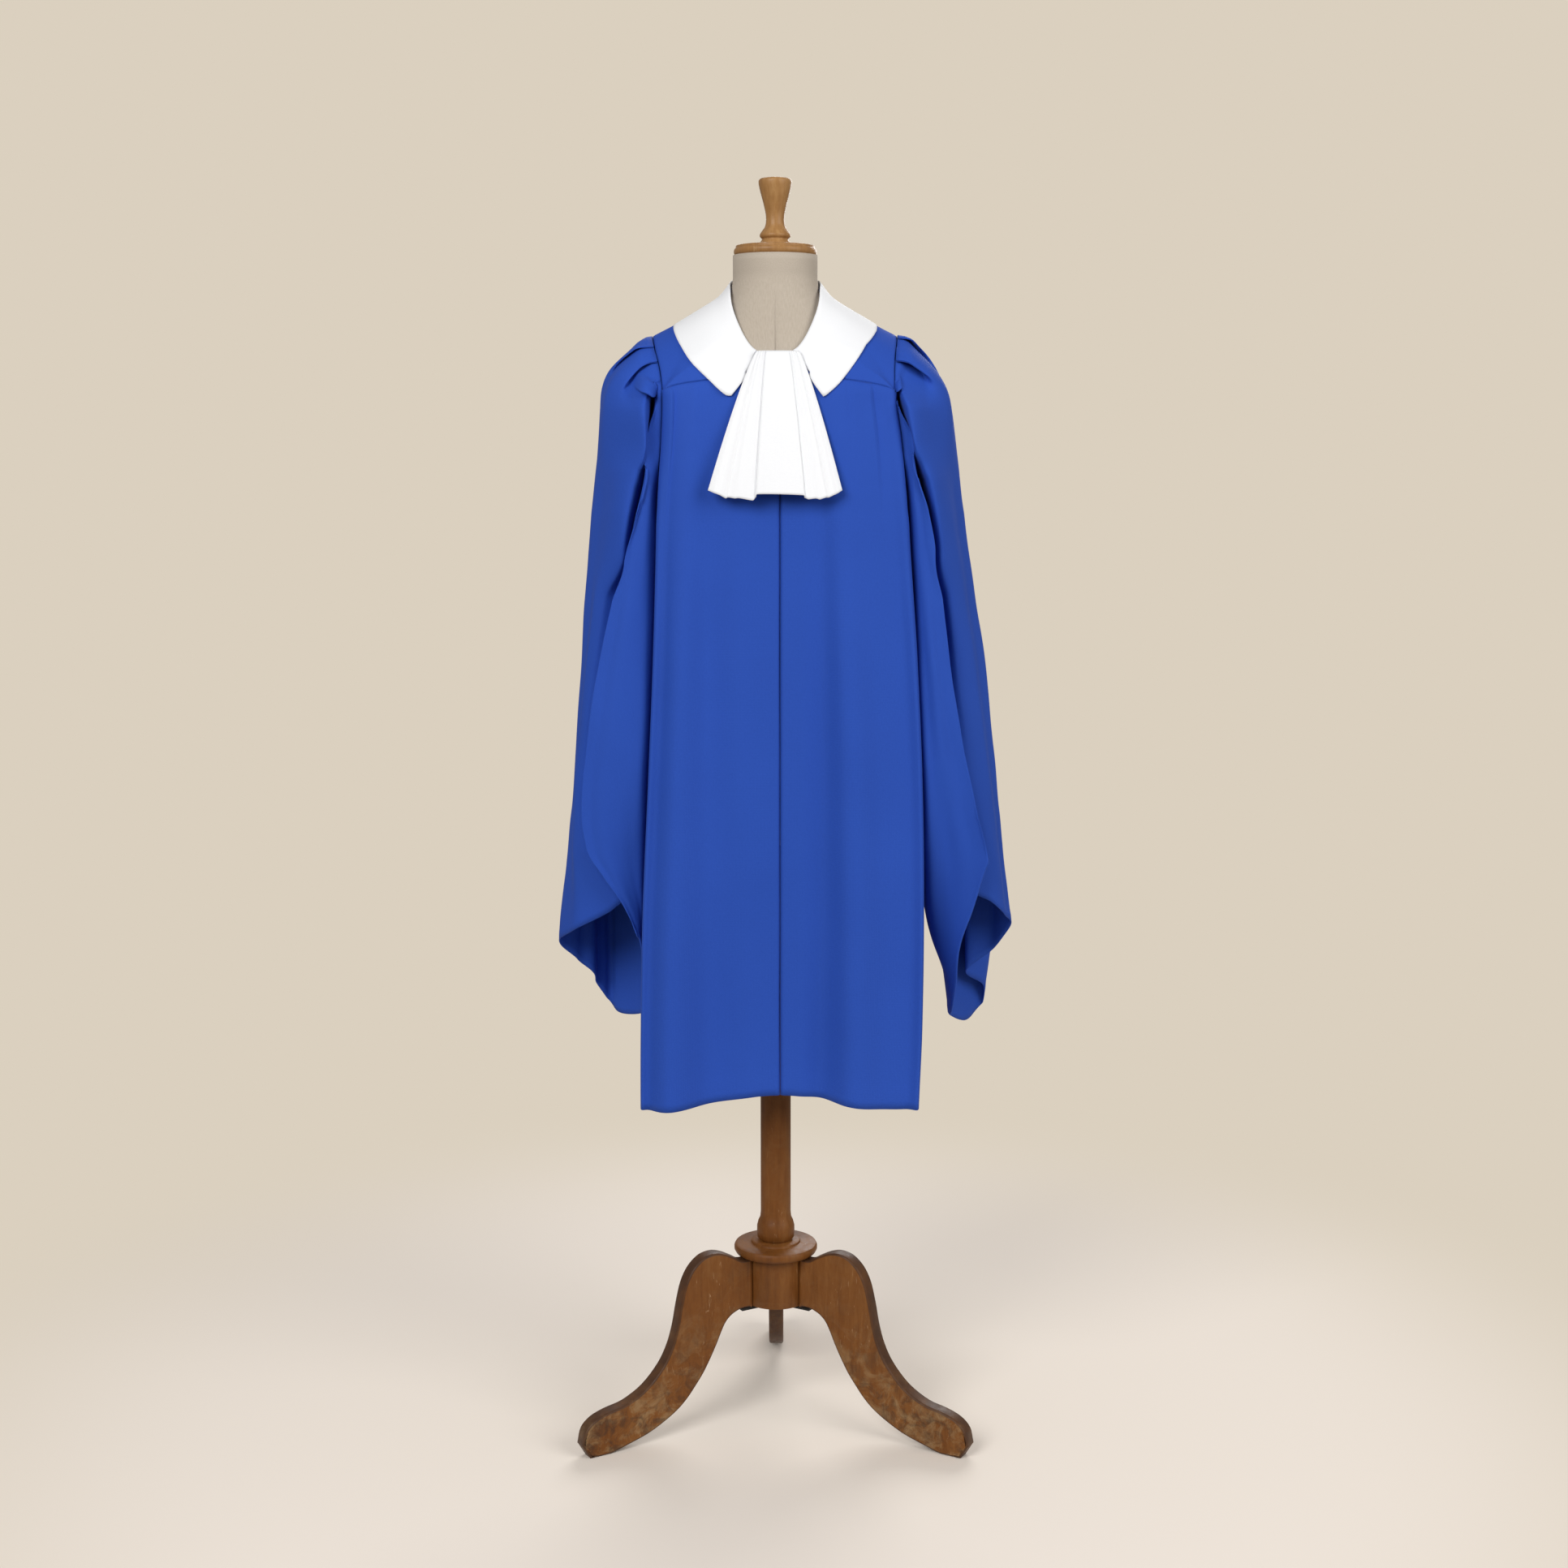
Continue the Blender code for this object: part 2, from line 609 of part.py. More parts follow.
def armhole(side, place):
    """Armhole seam: 0 under the arm, 4 the front corner, 6 the shoulder, 8 the back corner."""
    back = place > 6.0
    low = 12.0 - place if back else place
    if low <= 4.0:
        row = table_place(ARMHOLE_LOW, low)
        x, y = body_section(side, min(row[3] if back else row[2], 1.0), row[1], back)
        return (x, y, row[1])
    rows = []
    for end, is_back in ((4.0, False), (8.0, True)):
        row = ARMHOLE_LOW[-1]
        x, y = body_section(side, row[3] if is_back else row[2], row[1], is_back)
        rows.append((end, side * x, side * x, y, row[1]))
    row = table_place([rows[0]] + ARMHOLE_HIGH + [rows[1]], place)
    return (side * (row[1] if side < 0 else row[2]), row[3], row[4])


def yoke_height(share, back):
    rows = [(-row[0], row[1], row[2]) for row in YOKE_SEAM]
    return table_place(rows, -min(share, 0.680))[2 if back else 1]


def neckline(side, share):
    half, y, z, bulge = along(NECKLINE, share * (len(NECKLINE) - 1))
    return (side * half, y, z), bulge


def yoke_width(share, back):
    """Share of a body panel's width at a share of the yoke's edge."""
    if back:
        return ARMHOLE_LOW[-1][3] * (1.0 - share) / (1.0 - YOKE_BACK_START)
    return ARMHOLE_LOW[-1][2] * min(share / YOKE_FRONT_END, 1.0)


def yoke_edge(side, share):
    """Outer edge of the yoke from centre front (0) to centre back (1)."""
    if YOKE_FRONT_END < share < YOKE_BACK_START:
        over = (share - YOKE_FRONT_END) / (YOKE_BACK_START - YOKE_FRONT_END)
        return armhole(side, mix(4.0, 8.0, over))
    back = share >= YOKE_BACK_START
    width = yoke_width(share, back)
    z = yoke_height(width, back)
    x, y = body_section(side, width, z, back)
    return (x, y, z)


def shoulder_surface(side, share, reach, lift=0.0):
    """Cloth lying on the shoulders: reach 0 at the neckline, 1 at the yoke's edge."""
    start, bulge = neckline(side, share)
    end = yoke_edge(side, share)
    flat = mix_points(start, end, reach)
    way = minus(end, start)
    level = math.hypot(way[0], way[1])
    out = unit((-way[2] * way[0] / max(level, 1e-6), -way[2] * way[1] / max(level, 1e-6), level))
    if reach > 1.0:
        # below the yoke's front seam the collar lies on the front panel
        z = end[2] - (reach - 1.0) * math.dist(start, end)
        x, y = body_section(side, yoke_width(share, False), z)
        return (x, y - lift, z)
    return moved(flat, out, 4.0 * reach * (1.0 - reach) * bulge + lift)


def seam_way(side, share, back):
    """Outward way of both cloths where the yoke meets a body panel."""
    z = yoke_height(share, back)
    a = body_section(side, max(share - 0.02, 0.0), z, back)
    b = body_section(side, share + 0.02, z, back)
    flat = unit((side * (b[1] - a[1]), side * (a[0] - b[0]), 0.0))
    if (flat[1] > 0.0) != back:
        flat = (-flat[0], -flat[1], 0.0)
    return unit((flat[0], flat[1], 0.55))


def front_fold(side, share, down):
    total = 0.0
    for yoke, hem, wide_top, wide_hem, top, middle, bottom in FRONT_FOLDS[side]:
        place = mix(yoke, hem, down)
        half = mix(wide_top, wide_hem, smooth(down))
        if down < 0.5:
            height = mix(top, middle, smooth(down * 2.0))
        else:
            height = mix(middle, bottom, smooth(down * 2.0 - 1.0))
        total += height * bump((share / 0.667 - place) * 0.16 / (2.0 * half))
    return total


def back_flute(side, share, down):
    """Gathers under the back yoke that open into soft flutes at the hem."""
    height = mix(BACK_FLUTE_YOKE, BACK_FLUTE_HEM, smooth(down)) * smooth(down / 0.03)
    turn = side * share / 0.667 * BACK_FLUTES * 0.5 + 0.16 * math.sin(5.0 * share + side)
    uneven = 1.0 + 0.28 * math.sin(3.7 * turn + 1.1)
    return height * uneven * math.cos(2.0 * math.pi * turn)


def panel_limit(z, back):
    """Share of the panel's width that is cloth at a height: less beside the armhole."""
    if z <= ARMHOLE_LOW[0][1]:
        return 1.0
    if z >= ARMHOLE_LOW[-1][1]:
        return ARMHOLE_LOW[-1][3 if back else 2]
    low = 0.0
    high = 4.0
    for step in range(24):
        middle = 0.5 * (low + high)
        if table_place(ARMHOLE_LOW, middle)[1] < z:
            low = middle
        else:
            high = middle
    return min(table_place(ARMHOLE_LOW, low)[3 if back else 2], 1.0)


def column_share(across, limit):
    if across < STRAIGHT_COLUMNS:
        return across * STRAIGHT_SHARE / STRAIGHT_COLUMNS
    return mix(STRAIGHT_SHARE, limit, (across - STRAIGHT_COLUMNS) / (1.0 - STRAIGHT_COLUMNS))


def panel_share(across, back):
    """Share of the panel's width along the yoke seam."""
    return column_share(across, ARMHOLE_LOW[-1][3 if back else 2])


def panel_point(side, across, level, back):
    """Body panel: across 0 to 1, level a height between the hem and the yoke."""
    share = column_share(across, panel_limit(level, back))
    top = ARMHOLE_LOW[-1][1]
    rise = smooth((level - 1.24) / (top - 1.24))
    z = level + (yoke_height(share, back) - top) * rise
    hem = HEM_BACK if back else mix(HEM_CENTRE, HEM_CORNER, smooth(share * 2.0))
    z += (hem - HEM_CORNER) * smooth((0.75 - level) / (0.75 - HEM_CORNER))
    x, y = body_section(side, share, z, back)
    down = (top - level) / (top - HEM_CORNER)
    edge = 1.0 - smooth((share - 0.50) / 0.20)
    if back:
        y += back_flute(side, share, down) * edge
    else:
        y -= front_fold(side, share, down) * edge * smooth(down / 0.03)
    return (x, y, z)


def sleeve_line(side, name, z):
    row = by_height(SLEEVE_LINES[side], z)
    return row[{"body": 1, "ridge": 2, "outer": 3}[name]]


def sleeve_fold_point(side, fold, z, down):
    """Where a fold line is at a height, well below the armhole."""
    name, place, first, second, share, y_head, y_middle, y_hem, hem = fold
    x = mix(sleeve_line(side, first, z), sleeve_line(side, second, z), share)
    if down < 0.55:
        y = mix(y_head, y_middle, smooth(down / 0.55))
    else:
        y = mix(y_middle, y_hem, smooth((down - 0.55) / 0.45))
    return (side * x, y, z)


def sleeve_point(side, around, down):
    """Sleeve cloth: around counts in fold lines, down 0 at the armhole, 1 at the hem."""
    folds = SLEEVE_FOLDS[side]
    columns = [(fold[1] if k else 0.0,) for k, fold in enumerate(folds)]
    place = round_value([c[0] for c in columns], around, 12.0)
    start = armhole(side, place)
    start = (start[0] + side * SLEEVE_START, start[1], start[2])
    hem = along([(fold[8],) for fold in folds], around, closed=True)[0]
    z = mix(start[2], hem, down)
    points = [sleeve_fold_point(side, fold, z, down) for fold in folds]
    base = along(points, around, closed=True)
    fallen = start[2] - z
    drop = mix(SIDE_DROP, SHOULDER_DROP, bump((place - 6.0) / 2.5))
    t = min(fallen / drop, 1.0)
    blend = math.sqrt(max(1.0 - (1.0 - t) ** 2, 0.0))
    x = mix(start[0], base[0], blend)
    y = mix(start[1], base[1], smooth(t))
    lift = tuck_height(place, down)
    x += side * 0.45 * lift
    y -= 0.80 * lift
    z += 0.20 * lift
    if place < 4.0 or place > 8.0:
        away = body_reach(side, y, z) + SLEEVE_CLEAR
        x = side * max(side * x, away)
    return (x, y, z)


def tuck_height(place, down):
    total = 0.0
    for edge, width, height, length in TUCKS:
        t = (place - edge) / width
        if -0.16 <= t <= 1.0:
            shape = smooth((t + 0.16) / 0.16) if t < 0.0 else 1.0 - t
            total += height * shape * smooth(down / 0.025) * (1.0 - smooth(down / length))
    return total


def body_reach(side, y, z):
    """How far out the body's cloth stands at a depth and height."""
    back = y > 0.0
    if panel_limit(z, back) < 1.0:
        place_y = body_section(side, panel_limit(z, back), z, back)[1]
        if abs(y) < abs(place_y):
            return 0.0
    best = 0.0
    for k in range(3, 13):
        x, depth = body_section(side, k / 12.0, z, back)
        x2, depth2 = body_section(side, (k - 1) / 12.0, z, back)
        if min(abs(depth), abs(depth2)) <= abs(y) <= max(abs(depth), abs(depth2)):
            t = (y - depth2) / (depth - depth2)
            best = max(best, side * mix(x2, x, t))
    return best


def round_value(values, around, whole):
    """Smooth rising value round a loop that gains the whole once per turn."""
    count = len(values)
    turn = math.floor(around / count)
    i = int(math.floor(around - turn * count))
    t = around - turn * count - i
    near = []
    for k in range(i - 1, i + 3):
        near.append((values[k % count] + whole * math.floor(k / count),))
    return cubic(near[0], near[1], near[2], near[3], t)[0] + whole * turn


# Building.


def build():
    for old in list(bpy.data.objects):
        bpy.data.objects.remove(old, do_unlink=True)
    root = bpy.data.objects.new("choir_dress", None)
    bpy.context.scene.collection.objects.link(root)
    build_stand(root)
    build_form(root)
    build_body(root)
    build_sleeves(root)
    build_yoke_and_collar(root)
    build_jabot(root)
    make_nodes()


def build_stand(root):
    turned("finial", FINIAL, FINIAL_TOP, 24, "golden_wood", root)
    turned("neck_cap", CAP, CAP_TOP, 28, "golden_wood", root)
    turned("pole", POLE, POLE[-1][0], 24, "brown_wood", root)
    turned("hub_ring", RING, RING_TOP, 32, "brown_wood", root)
    turned("hub", [(HUB_BOTTOM, HUB_RADIUS), (HUB_TOP, HUB_RADIUS)], HUB_TOP, 32, "brown_wood", root)
    build_plate(root)
    for name, degrees in LEG_ANGLES.items():
        build_leg(name, math.radians(degrees), root)


def build_plate(root):
    """Thin iron plate with one arm under each leg."""
    outline = []
    for degrees in sorted(LEG_ANGLES.values()):
        angle = math.radians(degrees)
        way = (math.cos(angle), math.sin(angle))
        side = (-way[1], way[0])
        for reach, half in ((0.0150, -PLATE_ARM), (PLATE_REACH, -PLATE_ARM),
                            (PLATE_REACH, PLATE_ARM), (0.0150, PLATE_ARM)):
            outline.append((way[0] * reach + side[0] * half, way[1] * reach + side[1] * half))
    rings = [[(x, y, z) for x, y in outline] for z in (PLATE_BOTTOM, PLATE_TOP)]
    closed_loft("iron_plate", rings, "iron", root)


def build_leg(name, angle, root):
    way = (math.cos(angle), math.sin(angle))
    side = (-way[1], way[0])
    half = 0.5 * LEG_THICK
    rings = []
    for top_r, top_z, low_r, low_z in LEG:
        length = math.hypot(top_r - low_r, top_z - low_z)
        cut = LEG_ROUND / length
        ring = []
        for across, share in ((-half, cut), (-half + LEG_ROUND, 0.0), (half - LEG_ROUND, 0.0), (half, cut),
                              (half, 1.0 - cut), (half - LEG_ROUND, 1.0), (-half + LEG_ROUND, 1.0),
                              (-half, 1.0 - cut)):
            r = mix(top_r, low_r, share)
            z = mix(top_z, low_z, share)
            ring.append((way[0] * r + side[0] * across, way[1] * r + side[1] * across, z))
        rings.append(ring)
    closed_loft(name, rings, "brown_wood", root)


def form_ring(z, half, front, back):
    ring = []
    turns = YOKE_SHARES[:-1] + [2.0 - share for share in reversed(YOKE_SHARES[1:])]
    for turn in turns:
        angle = math.pi * turn
        c = math.cos(angle)
        s = math.sin(angle)
        power = 0.80
        x = half * math.copysign(abs(s) ** power, s)
        depth = front if c > 0 else back
        y = -depth * math.copysign(abs(c) ** power, c)
        ring.append((x, y, z))
    return ring


def build_form(root):
    """Linen form: neck, shoulders that carry the yoke, chest, waist and hips."""
    half_steps = len(YOKE_SHARES) - 1
    steps = half_steps * 2
    rings = []

    def ring_of(make):
        ring = []
        for j in range(steps):
            side = 1 if j < half_steps else -1
            ring.append(make(side, YOKE_SHARES[j if j < half_steps else steps - j]))
        return ring

    def neck(side, share, z):
        angle = math.pi * share
        return (side * NECK_RADIUS * math.sin(angle), -NECK_RADIUS * math.cos(angle), z)

    def shoulder(side, share, reach):
        clear = mix(FORM_CLEAR_AWAY, FORM_CLEAR, bump((share - 0.50) / 0.13))
        clear += 0.0030 * smooth((reach - 0.5) / 0.4)
        return shoulder_surface(side, share, reach, -clear)

    for z in (NECK_TOP, 1.4900, 1.4780):
        rings.append(ring_of(lambda side, share: neck(side, share, z)))
    low_neck = ring_of(lambda side, share: neck(side, share, 1.470))
    neckline_ring = ring_of(lambda side, share: shoulder(side, share, 0.0))
    rings.append([mix_points(p, q, 0.45) for p, q in zip(low_neck, neckline_ring)])
    for reach in YOKE_REACHES:
        rings.append(ring_of(lambda side, share: shoulder(side, share, min(reach, 0.97))))
    for k, row in enumerate(FORM):
        z, half, front, back = row
        ring = form_ring(z, half, front, back)
        if k == 0:
            ring = [mix_points(p, q, 0.70) for p, q in zip(rings[-1], ring)]
        rings.append(ring)
    rings.append(form_ring(FORM_BOTTOM, 0.055, 0.040, 0.040))
    closed_loft("dress_form", rings, "linen", root)


def build_body(root):
    top = ARMHOLE_LOW[-1][1] - 0.5 * SEAM_GAP
    heights = [top] + PANEL_TOP_ROWS + PANEL_LOW_ROWS
    for side, name in ((-1, "front_left"), (1, "front_right")):
        grid = []
        for z in heights:
            line = [panel_point(side, a, z, False) for a in FRONT_COLUMNS]
            line[0] = (line[0][0] + side * 0.5 * SEAM_GAP, line[0][1], line[0][2])
            line[-1] = (line[-1][0], line[-1][1] - 0.5 * SEAM_GAP, line[-1][2])
            grid.append(line)
        seams = {}
        for k, a in enumerate(FRONT_COLUMNS):
            seams[(0, k)] = seam_way(side, panel_share(a, False), False)
        sheet(name, grid, BLUE_WALL, "blue_cloth", root, flip=side > 0, seams=seams)
    half = [k / BACK_COLUMNS for k in range(BACK_COLUMNS + 1)]
    grid = []
    for z in heights:
        left = [panel_point(-1, a, z, True) for a in reversed(half)]
        right = [panel_point(1, a, z, True) for a in half[1:]]
        line = left + right
        line[0] = (line[0][0], line[0][1] + 0.5 * SEAM_GAP, line[0][2])
        line[-1] = (line[-1][0], line[-1][1] + 0.5 * SEAM_GAP, line[-1][2])
        grid.append(line)
    seams = {}
    for k in range(2 * BACK_COLUMNS + 1):
        share = panel_share(abs(k - BACK_COLUMNS) / BACK_COLUMNS, True)
        seams[(0, k)] = seam_way(-1 if k < BACK_COLUMNS else 1, share, True)
    sheet("back", grid, BLUE_WALL, "blue_cloth", root, flip=True, seams=seams)


def build_sleeves(root):
    for side, name in ((-1, "sleeve_left"), (1, "sleeve_right")):
        count = len(SLEEVE_FOLDS[side])
        rounds = []
        for k in range(count):
            steps = 4 if 5 <= k <= 7 else 3 if 3 <= k <= 8 else 2
            rounds += [k + i / steps for i in range(steps)]
        grid = [[sleeve_point(side, a, d) for a in rounds] for d in SLEEVE_ROWS]
        sheet(name, grid, BLUE_WALL, "blue_cloth", root, closed=True, flip=side > 0)


def build_yoke_and_collar(root):
    shares = YOKE_SHARES
    last = len(YOKE_REACHES) - 1
    grid = []
    for reach in YOKE_REACHES:
        reach = max(reach, 0.02)
        left = [shoulder_surface(-1, s, reach) for s in shares]
        right = [shoulder_surface(1, s, reach) for s in reversed(shares)]
        grid.append(left + right[1:])
    seams = {}
    for k, share in enumerate(shares + list(reversed(shares))[1:]):
        side = -1 if k < len(shares) else 1
        x, y, z = grid[-1][k]
        inwards = SEAM_GAP if YOKE_FRONT_END <= share <= YOKE_BACK_START else 0.0
        grid[-1][k] = (x - side * inwards, y, z + YOKE_SEAM_RISE)
        if share <= YOKE_FRONT_END:
            seams[(last, k)] = seam_way(side, yoke_width(share, False), False)
        if share >= YOKE_BACK_START:
            seams[(last, k)] = seam_way(side, yoke_width(share, True), True)
    sheet("yoke", grid, BLUE_WALL, "blue_cloth", root, seams=seams)
    grid = []
    for across in COLLAR_REACHES:
        left = [collar_point(-1, s, across) for s in COLLAR_SHARES]
        right = [collar_point(1, s, across) for s in reversed(COLLAR_SHARES)]
        grid.append(left + right[1:])
    sheet("collar", grid, WHITE_WALL, "white_cloth", root)


def collar_outline(x):
    """Height of the collar's outer edge in the front view."""
    return table_place(COLLAR_OUTLINE, abs(x))[1]


def collar_edge(side, share):
    """How far down the shoulder surface the collar's outer edge lies."""
    start = shoulder_surface(side, share, 0.0)
    low = 0.02
    high = 1.3
    for step in range(24):
        middle = 0.5 * (low + high)
        x, y, z = shoulder_surface(side, share, middle)
        by_width = math.dist(start, (x, y, z)) < COLLAR_WIDTH
        by_outline = z > collar_outline(x)
        if share < 0.26:
            inside = by_outline
        elif share < 0.42:
            inside = by_outline and by_width
        else:
            inside = by_width
        if inside:
            low = middle
        else:
            high = middle
    return low


def collar_point(side, along_neck, across):
    """Collar cloth: along_neck 0 at the front edge, 1 at centre back."""
    inner = mix(COLLAR_FRONT, 1.0, along_neck)
    outer = mix(COLLAR_TIP, 1.0, along_neck)
    reach = collar_edge(side, outer) * across
    share = mix(inner, outer, across)
    share -= 0.035 * 4.0 * across * (1.0 - across) * (1.0 - along_neck) ** 6
    x, y, z = shoulder_surface(side, share, reach, COLLAR_LIFT)
    roll = (1.0 - smooth(across / 0.22)) * smooth(along_neck / 0.25)
    level = math.hypot(x, y)
    pull = 1.0 - COLLAR_ROLL * roll / level
    return (x * pull, y * pull, z + COLLAR_STAND * roll)


def build_jabot(root):
    grid = []
    for i in range(JABOT_ROWS):
        t = i / (JABOT_ROWS - 1)
        line = []
        for k in range((len(JABOT_FOLDS) - 1) * 2 + 1):
            top_x, low_x, top_y, low_y, hem = along(JABOT_FOLDS, k * 0.5)
            spread = t ** 0.92
            y = mix(JABOT_TOP_Y, JABOT_BOTTOM_Y, t ** 0.8) + mix(top_y, low_y, t)
            line.append((mix(top_x, low_x, spread), y, mix(JABOT_TOP, hem, t)))
        grid.append(line)
    sheet("jabot", grid, WHITE_WALL, "white_cloth", root)


build()
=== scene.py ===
import bpy
import bmesh
import math
from mathutils import Matrix, Vector, noise


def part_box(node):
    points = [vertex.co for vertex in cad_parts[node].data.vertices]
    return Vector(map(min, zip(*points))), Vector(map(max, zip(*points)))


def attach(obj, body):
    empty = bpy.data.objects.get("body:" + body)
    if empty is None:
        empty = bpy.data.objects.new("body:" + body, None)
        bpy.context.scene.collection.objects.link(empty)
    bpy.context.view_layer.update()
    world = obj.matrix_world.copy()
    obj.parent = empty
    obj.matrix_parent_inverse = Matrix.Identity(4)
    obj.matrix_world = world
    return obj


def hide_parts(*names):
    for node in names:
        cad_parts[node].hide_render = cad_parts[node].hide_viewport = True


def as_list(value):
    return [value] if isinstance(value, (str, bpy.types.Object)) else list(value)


# A choir dress on a wooden dress form: shells of cloth on the solids' own shapes,
# with their tucks, gathers, creases, seams and hems. Lengths are in metres.

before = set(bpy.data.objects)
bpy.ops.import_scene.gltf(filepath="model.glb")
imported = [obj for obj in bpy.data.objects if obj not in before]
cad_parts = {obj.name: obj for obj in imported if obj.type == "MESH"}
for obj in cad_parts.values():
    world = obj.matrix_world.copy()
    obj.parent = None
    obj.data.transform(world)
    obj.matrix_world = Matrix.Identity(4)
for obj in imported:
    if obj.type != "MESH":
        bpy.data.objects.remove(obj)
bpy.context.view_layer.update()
poleLow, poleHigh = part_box("pole")
standX = 0.5 * (poleLow[0] + poleHigh[0])  # all shapes are worked out round the pole
standY = 0.5 * (poleLow[1] + poleHigh[1])
tiny = 1e-6
print("frame loaded, stand at", round(standX, 4), round(standY, 4))


camera = {
    "place": (0.0109, -2.8083, 1.2457),  # from the foot of the pole
    "tilt": 0.1417,  # downwards, in radians
    "lens": 50.82,
    "sensor": 36.0,
}
studio = {
    "floor": 40.0,
    "floorColour": (0.77, 0.70, 0.625), "floorRoughness": 0.9, "floorSpecular": 0.1,
    "wallColour": (0.708, 0.631, 0.521),
    "roomColour": (1.0, 0.97, 0.93), "roomLight": 0.32,
    "fadeStart": 0.60, "fadeEnd": 1.50,  # the floor turns into the wall's colour
    "aimHeight": 0.95,
    "lights": {  # place from the foot of the pole, size and power
        "key": ((-1.7, -3.1, 2.9), 2.2, 109.0),
        "fill": ((2.8, -2.3, 2.4), 2.8, 80.0),
        "back": ((0.6, 2.8, 2.3), 2.2, 60.0),
    },
}


def addNode(tree, kind, inputs=None, **values):  # an input is a value or another node's socket
    made = tree.nodes.new(kind)
    for key, value in values.items():
        setattr(made, key, value)
    for key, value in (inputs or {}).items():
        if isinstance(value, bpy.types.NodeSocket):
            tree.links.new(value, made.inputs[key])
        else:
            made.inputs[key].default_value = value
    return made


def makeCamera():
    data = bpy.data.cameras.new("camera")
    data.sensor_width = camera["sensor"]
    data.sensor_height = camera["sensor"]
    data.sensor_fit = "HORIZONTAL"
    data.lens = camera["lens"]
    made = bpy.data.objects.new("camera", data)
    x, y, z = camera["place"]
    made.location = (x + standX, y + standY, z)
    made.rotation_euler = (math.pi / 2 - camera["tilt"], 0.0, 0.0)
    bpy.context.scene.collection.objects.link(made)
    bpy.context.scene.camera = made


def makeLight(name, place, size, power):
    data = bpy.data.lights.new(name, "AREA")
    data.shape = "DISK"
    data.size = size
    data.energy = power
    made = bpy.data.objects.new(name, data)
    made.location = (place[0] + standX, place[1] + standY, place[2])
    aim = Vector((standX, standY, studio["aimHeight"])) - made.location
    made.rotation_euler = aim.to_track_quat("-Z", "Y").to_euler()
    bpy.context.scene.collection.objects.link(made)


def makeRoom():  # soft light from all round, behind a plain wall colour
    world = bpy.data.worlds.new("room")
    world.use_nodes = True
    tree = world.node_tree
    light = tree.nodes["Background"]
    light.inputs["Color"].default_value = (*studio["roomColour"], 1.0)
    light.inputs["Strength"].default_value = studio["roomLight"]
    wall = addNode(tree, "ShaderNodeBackground", {"Color": (*studio["wallColour"], 1.0)})
    seen = addNode(tree, "ShaderNodeLightPath").outputs["Is Camera Ray"]
    both = addNode(tree, "ShaderNodeMixShader", {0: seen, 1: light.outputs[0], 2: wall.outputs[0]})
    tree.links.new(both.outputs[0], tree.nodes["World Output"].inputs["Surface"])
    bpy.context.scene.world = world


def floorPaint():
    paint = bpy.data.materials.new("floorPaint")
    paint.use_nodes = True
    tree = paint.node_tree
    near = tree.nodes["Principled BSDF"]
    near.inputs["Base Color"].default_value = (*studio["floorColour"], 1.0)
    near.inputs["Roughness"].default_value = studio["floorRoughness"]
    near.inputs["Specular IOR Level"].default_value = studio["floorSpecular"]
    place = addNode(tree, "ShaderNodeTexCoord").outputs["Object"]
    away = addNode(tree, "ShaderNodeVectorMath", {0: place, 1: (standX, standY, 0.0)}, operation="DISTANCE")
    fade = addNode(tree, "ShaderNodeMapRange", {
        "Value": away.outputs["Value"], "From Min": studio["fadeStart"], "From Max": studio["fadeEnd"],
    }, interpolation_type="SMOOTHERSTEP")
    seen = addNode(tree, "ShaderNodeLightPath").outputs["Is Camera Ray"]
    strength = addNode(tree, "ShaderNodeMapRange", {"Value": seen, "To Min": studio["roomLight"]})
    far = addNode(tree, "ShaderNodeEmission", {
        "Color": (*studio["wallColour"], 1.0), "Strength": strength.outputs["Result"],
    })
    parts = {0: fade.outputs["Result"], 1: near.outputs[0], 2: far.outputs[0]}
    both = addNode(tree, "ShaderNodeMixShader", parts)
    tree.links.new(both.outputs[0], tree.nodes["Material Output"].inputs["Surface"])
    return paint


def makeFloor():
    bm = bmesh.new()
    bmesh.ops.create_grid(bm, x_segments=1, y_segments=1, size=studio["floor"])
    mesh = bpy.data.meshes.new("floor")
    bm.to_mesh(mesh)
    bm.free()
    floor = bpy.data.objects.new("floor", mesh)
    bpy.context.scene.collection.objects.link(floor)
    mesh.materials.append(floorPaint())


bpy.context.scene.view_settings.view_transform = "Standard"
makeCamera()
makeRoom()
for name, (place, size, power) in studio["lights"].items():
    makeLight(name, place, size, power)
makeFloor()
print("camera and studio made")


def mix(a, b, t):  # from a at 0 to b at 1
    return a + (b - a) * t


def mixPoint(a, b, t):
    return tuple(mix(p, q, t) for p, q in zip(a, b))


def ease(t):  # from 0 to 1, level at both ends
    t = min(max(t, 0.0), 1.0)
    return t * t * (3.0 - 2.0 * t)


def hump(t):  # 1 at 0 and nothing from 1 on, either way
    return 0.0 if abs(t) >= 1.0 else 0.5 + 0.5 * math.cos(math.pi * t)


def curveBetween(p0, p1, p2, p3, t):  # smooth from p1 to p2, sloping as its neighbours lie
    t2 = t * t
    t3 = t2 * t
    out = []
    for a, b, c, d in zip(p0, p1, p2, p3):
        slopeStart = 0.5 * (c - a)
        slopeEnd = 0.5 * (d - b)
        leaving = (2 * t3 - 3 * t2 + 1) * b + (t3 - 2 * t2 + t) * slopeStart
        out.append(leaving + (3 * t2 - 2 * t3) * c + (t3 - t2) * slopeEnd)
    return tuple(out)


def curveAt(points, t):  # smooth curve through the rows, t counts in rows
    count = len(points)
    i = min(max(int(math.floor(t)), 0), count - 2)
    before = points[i - 1] if i > 0 else mixPoint(points[1], points[0], 2.0)
    after = points[i + 2] if i + 2 < count else mixPoint(points[-2], points[-1], 2.0)
    return curveBetween(before, points[i], points[i + 1], after, t - i)


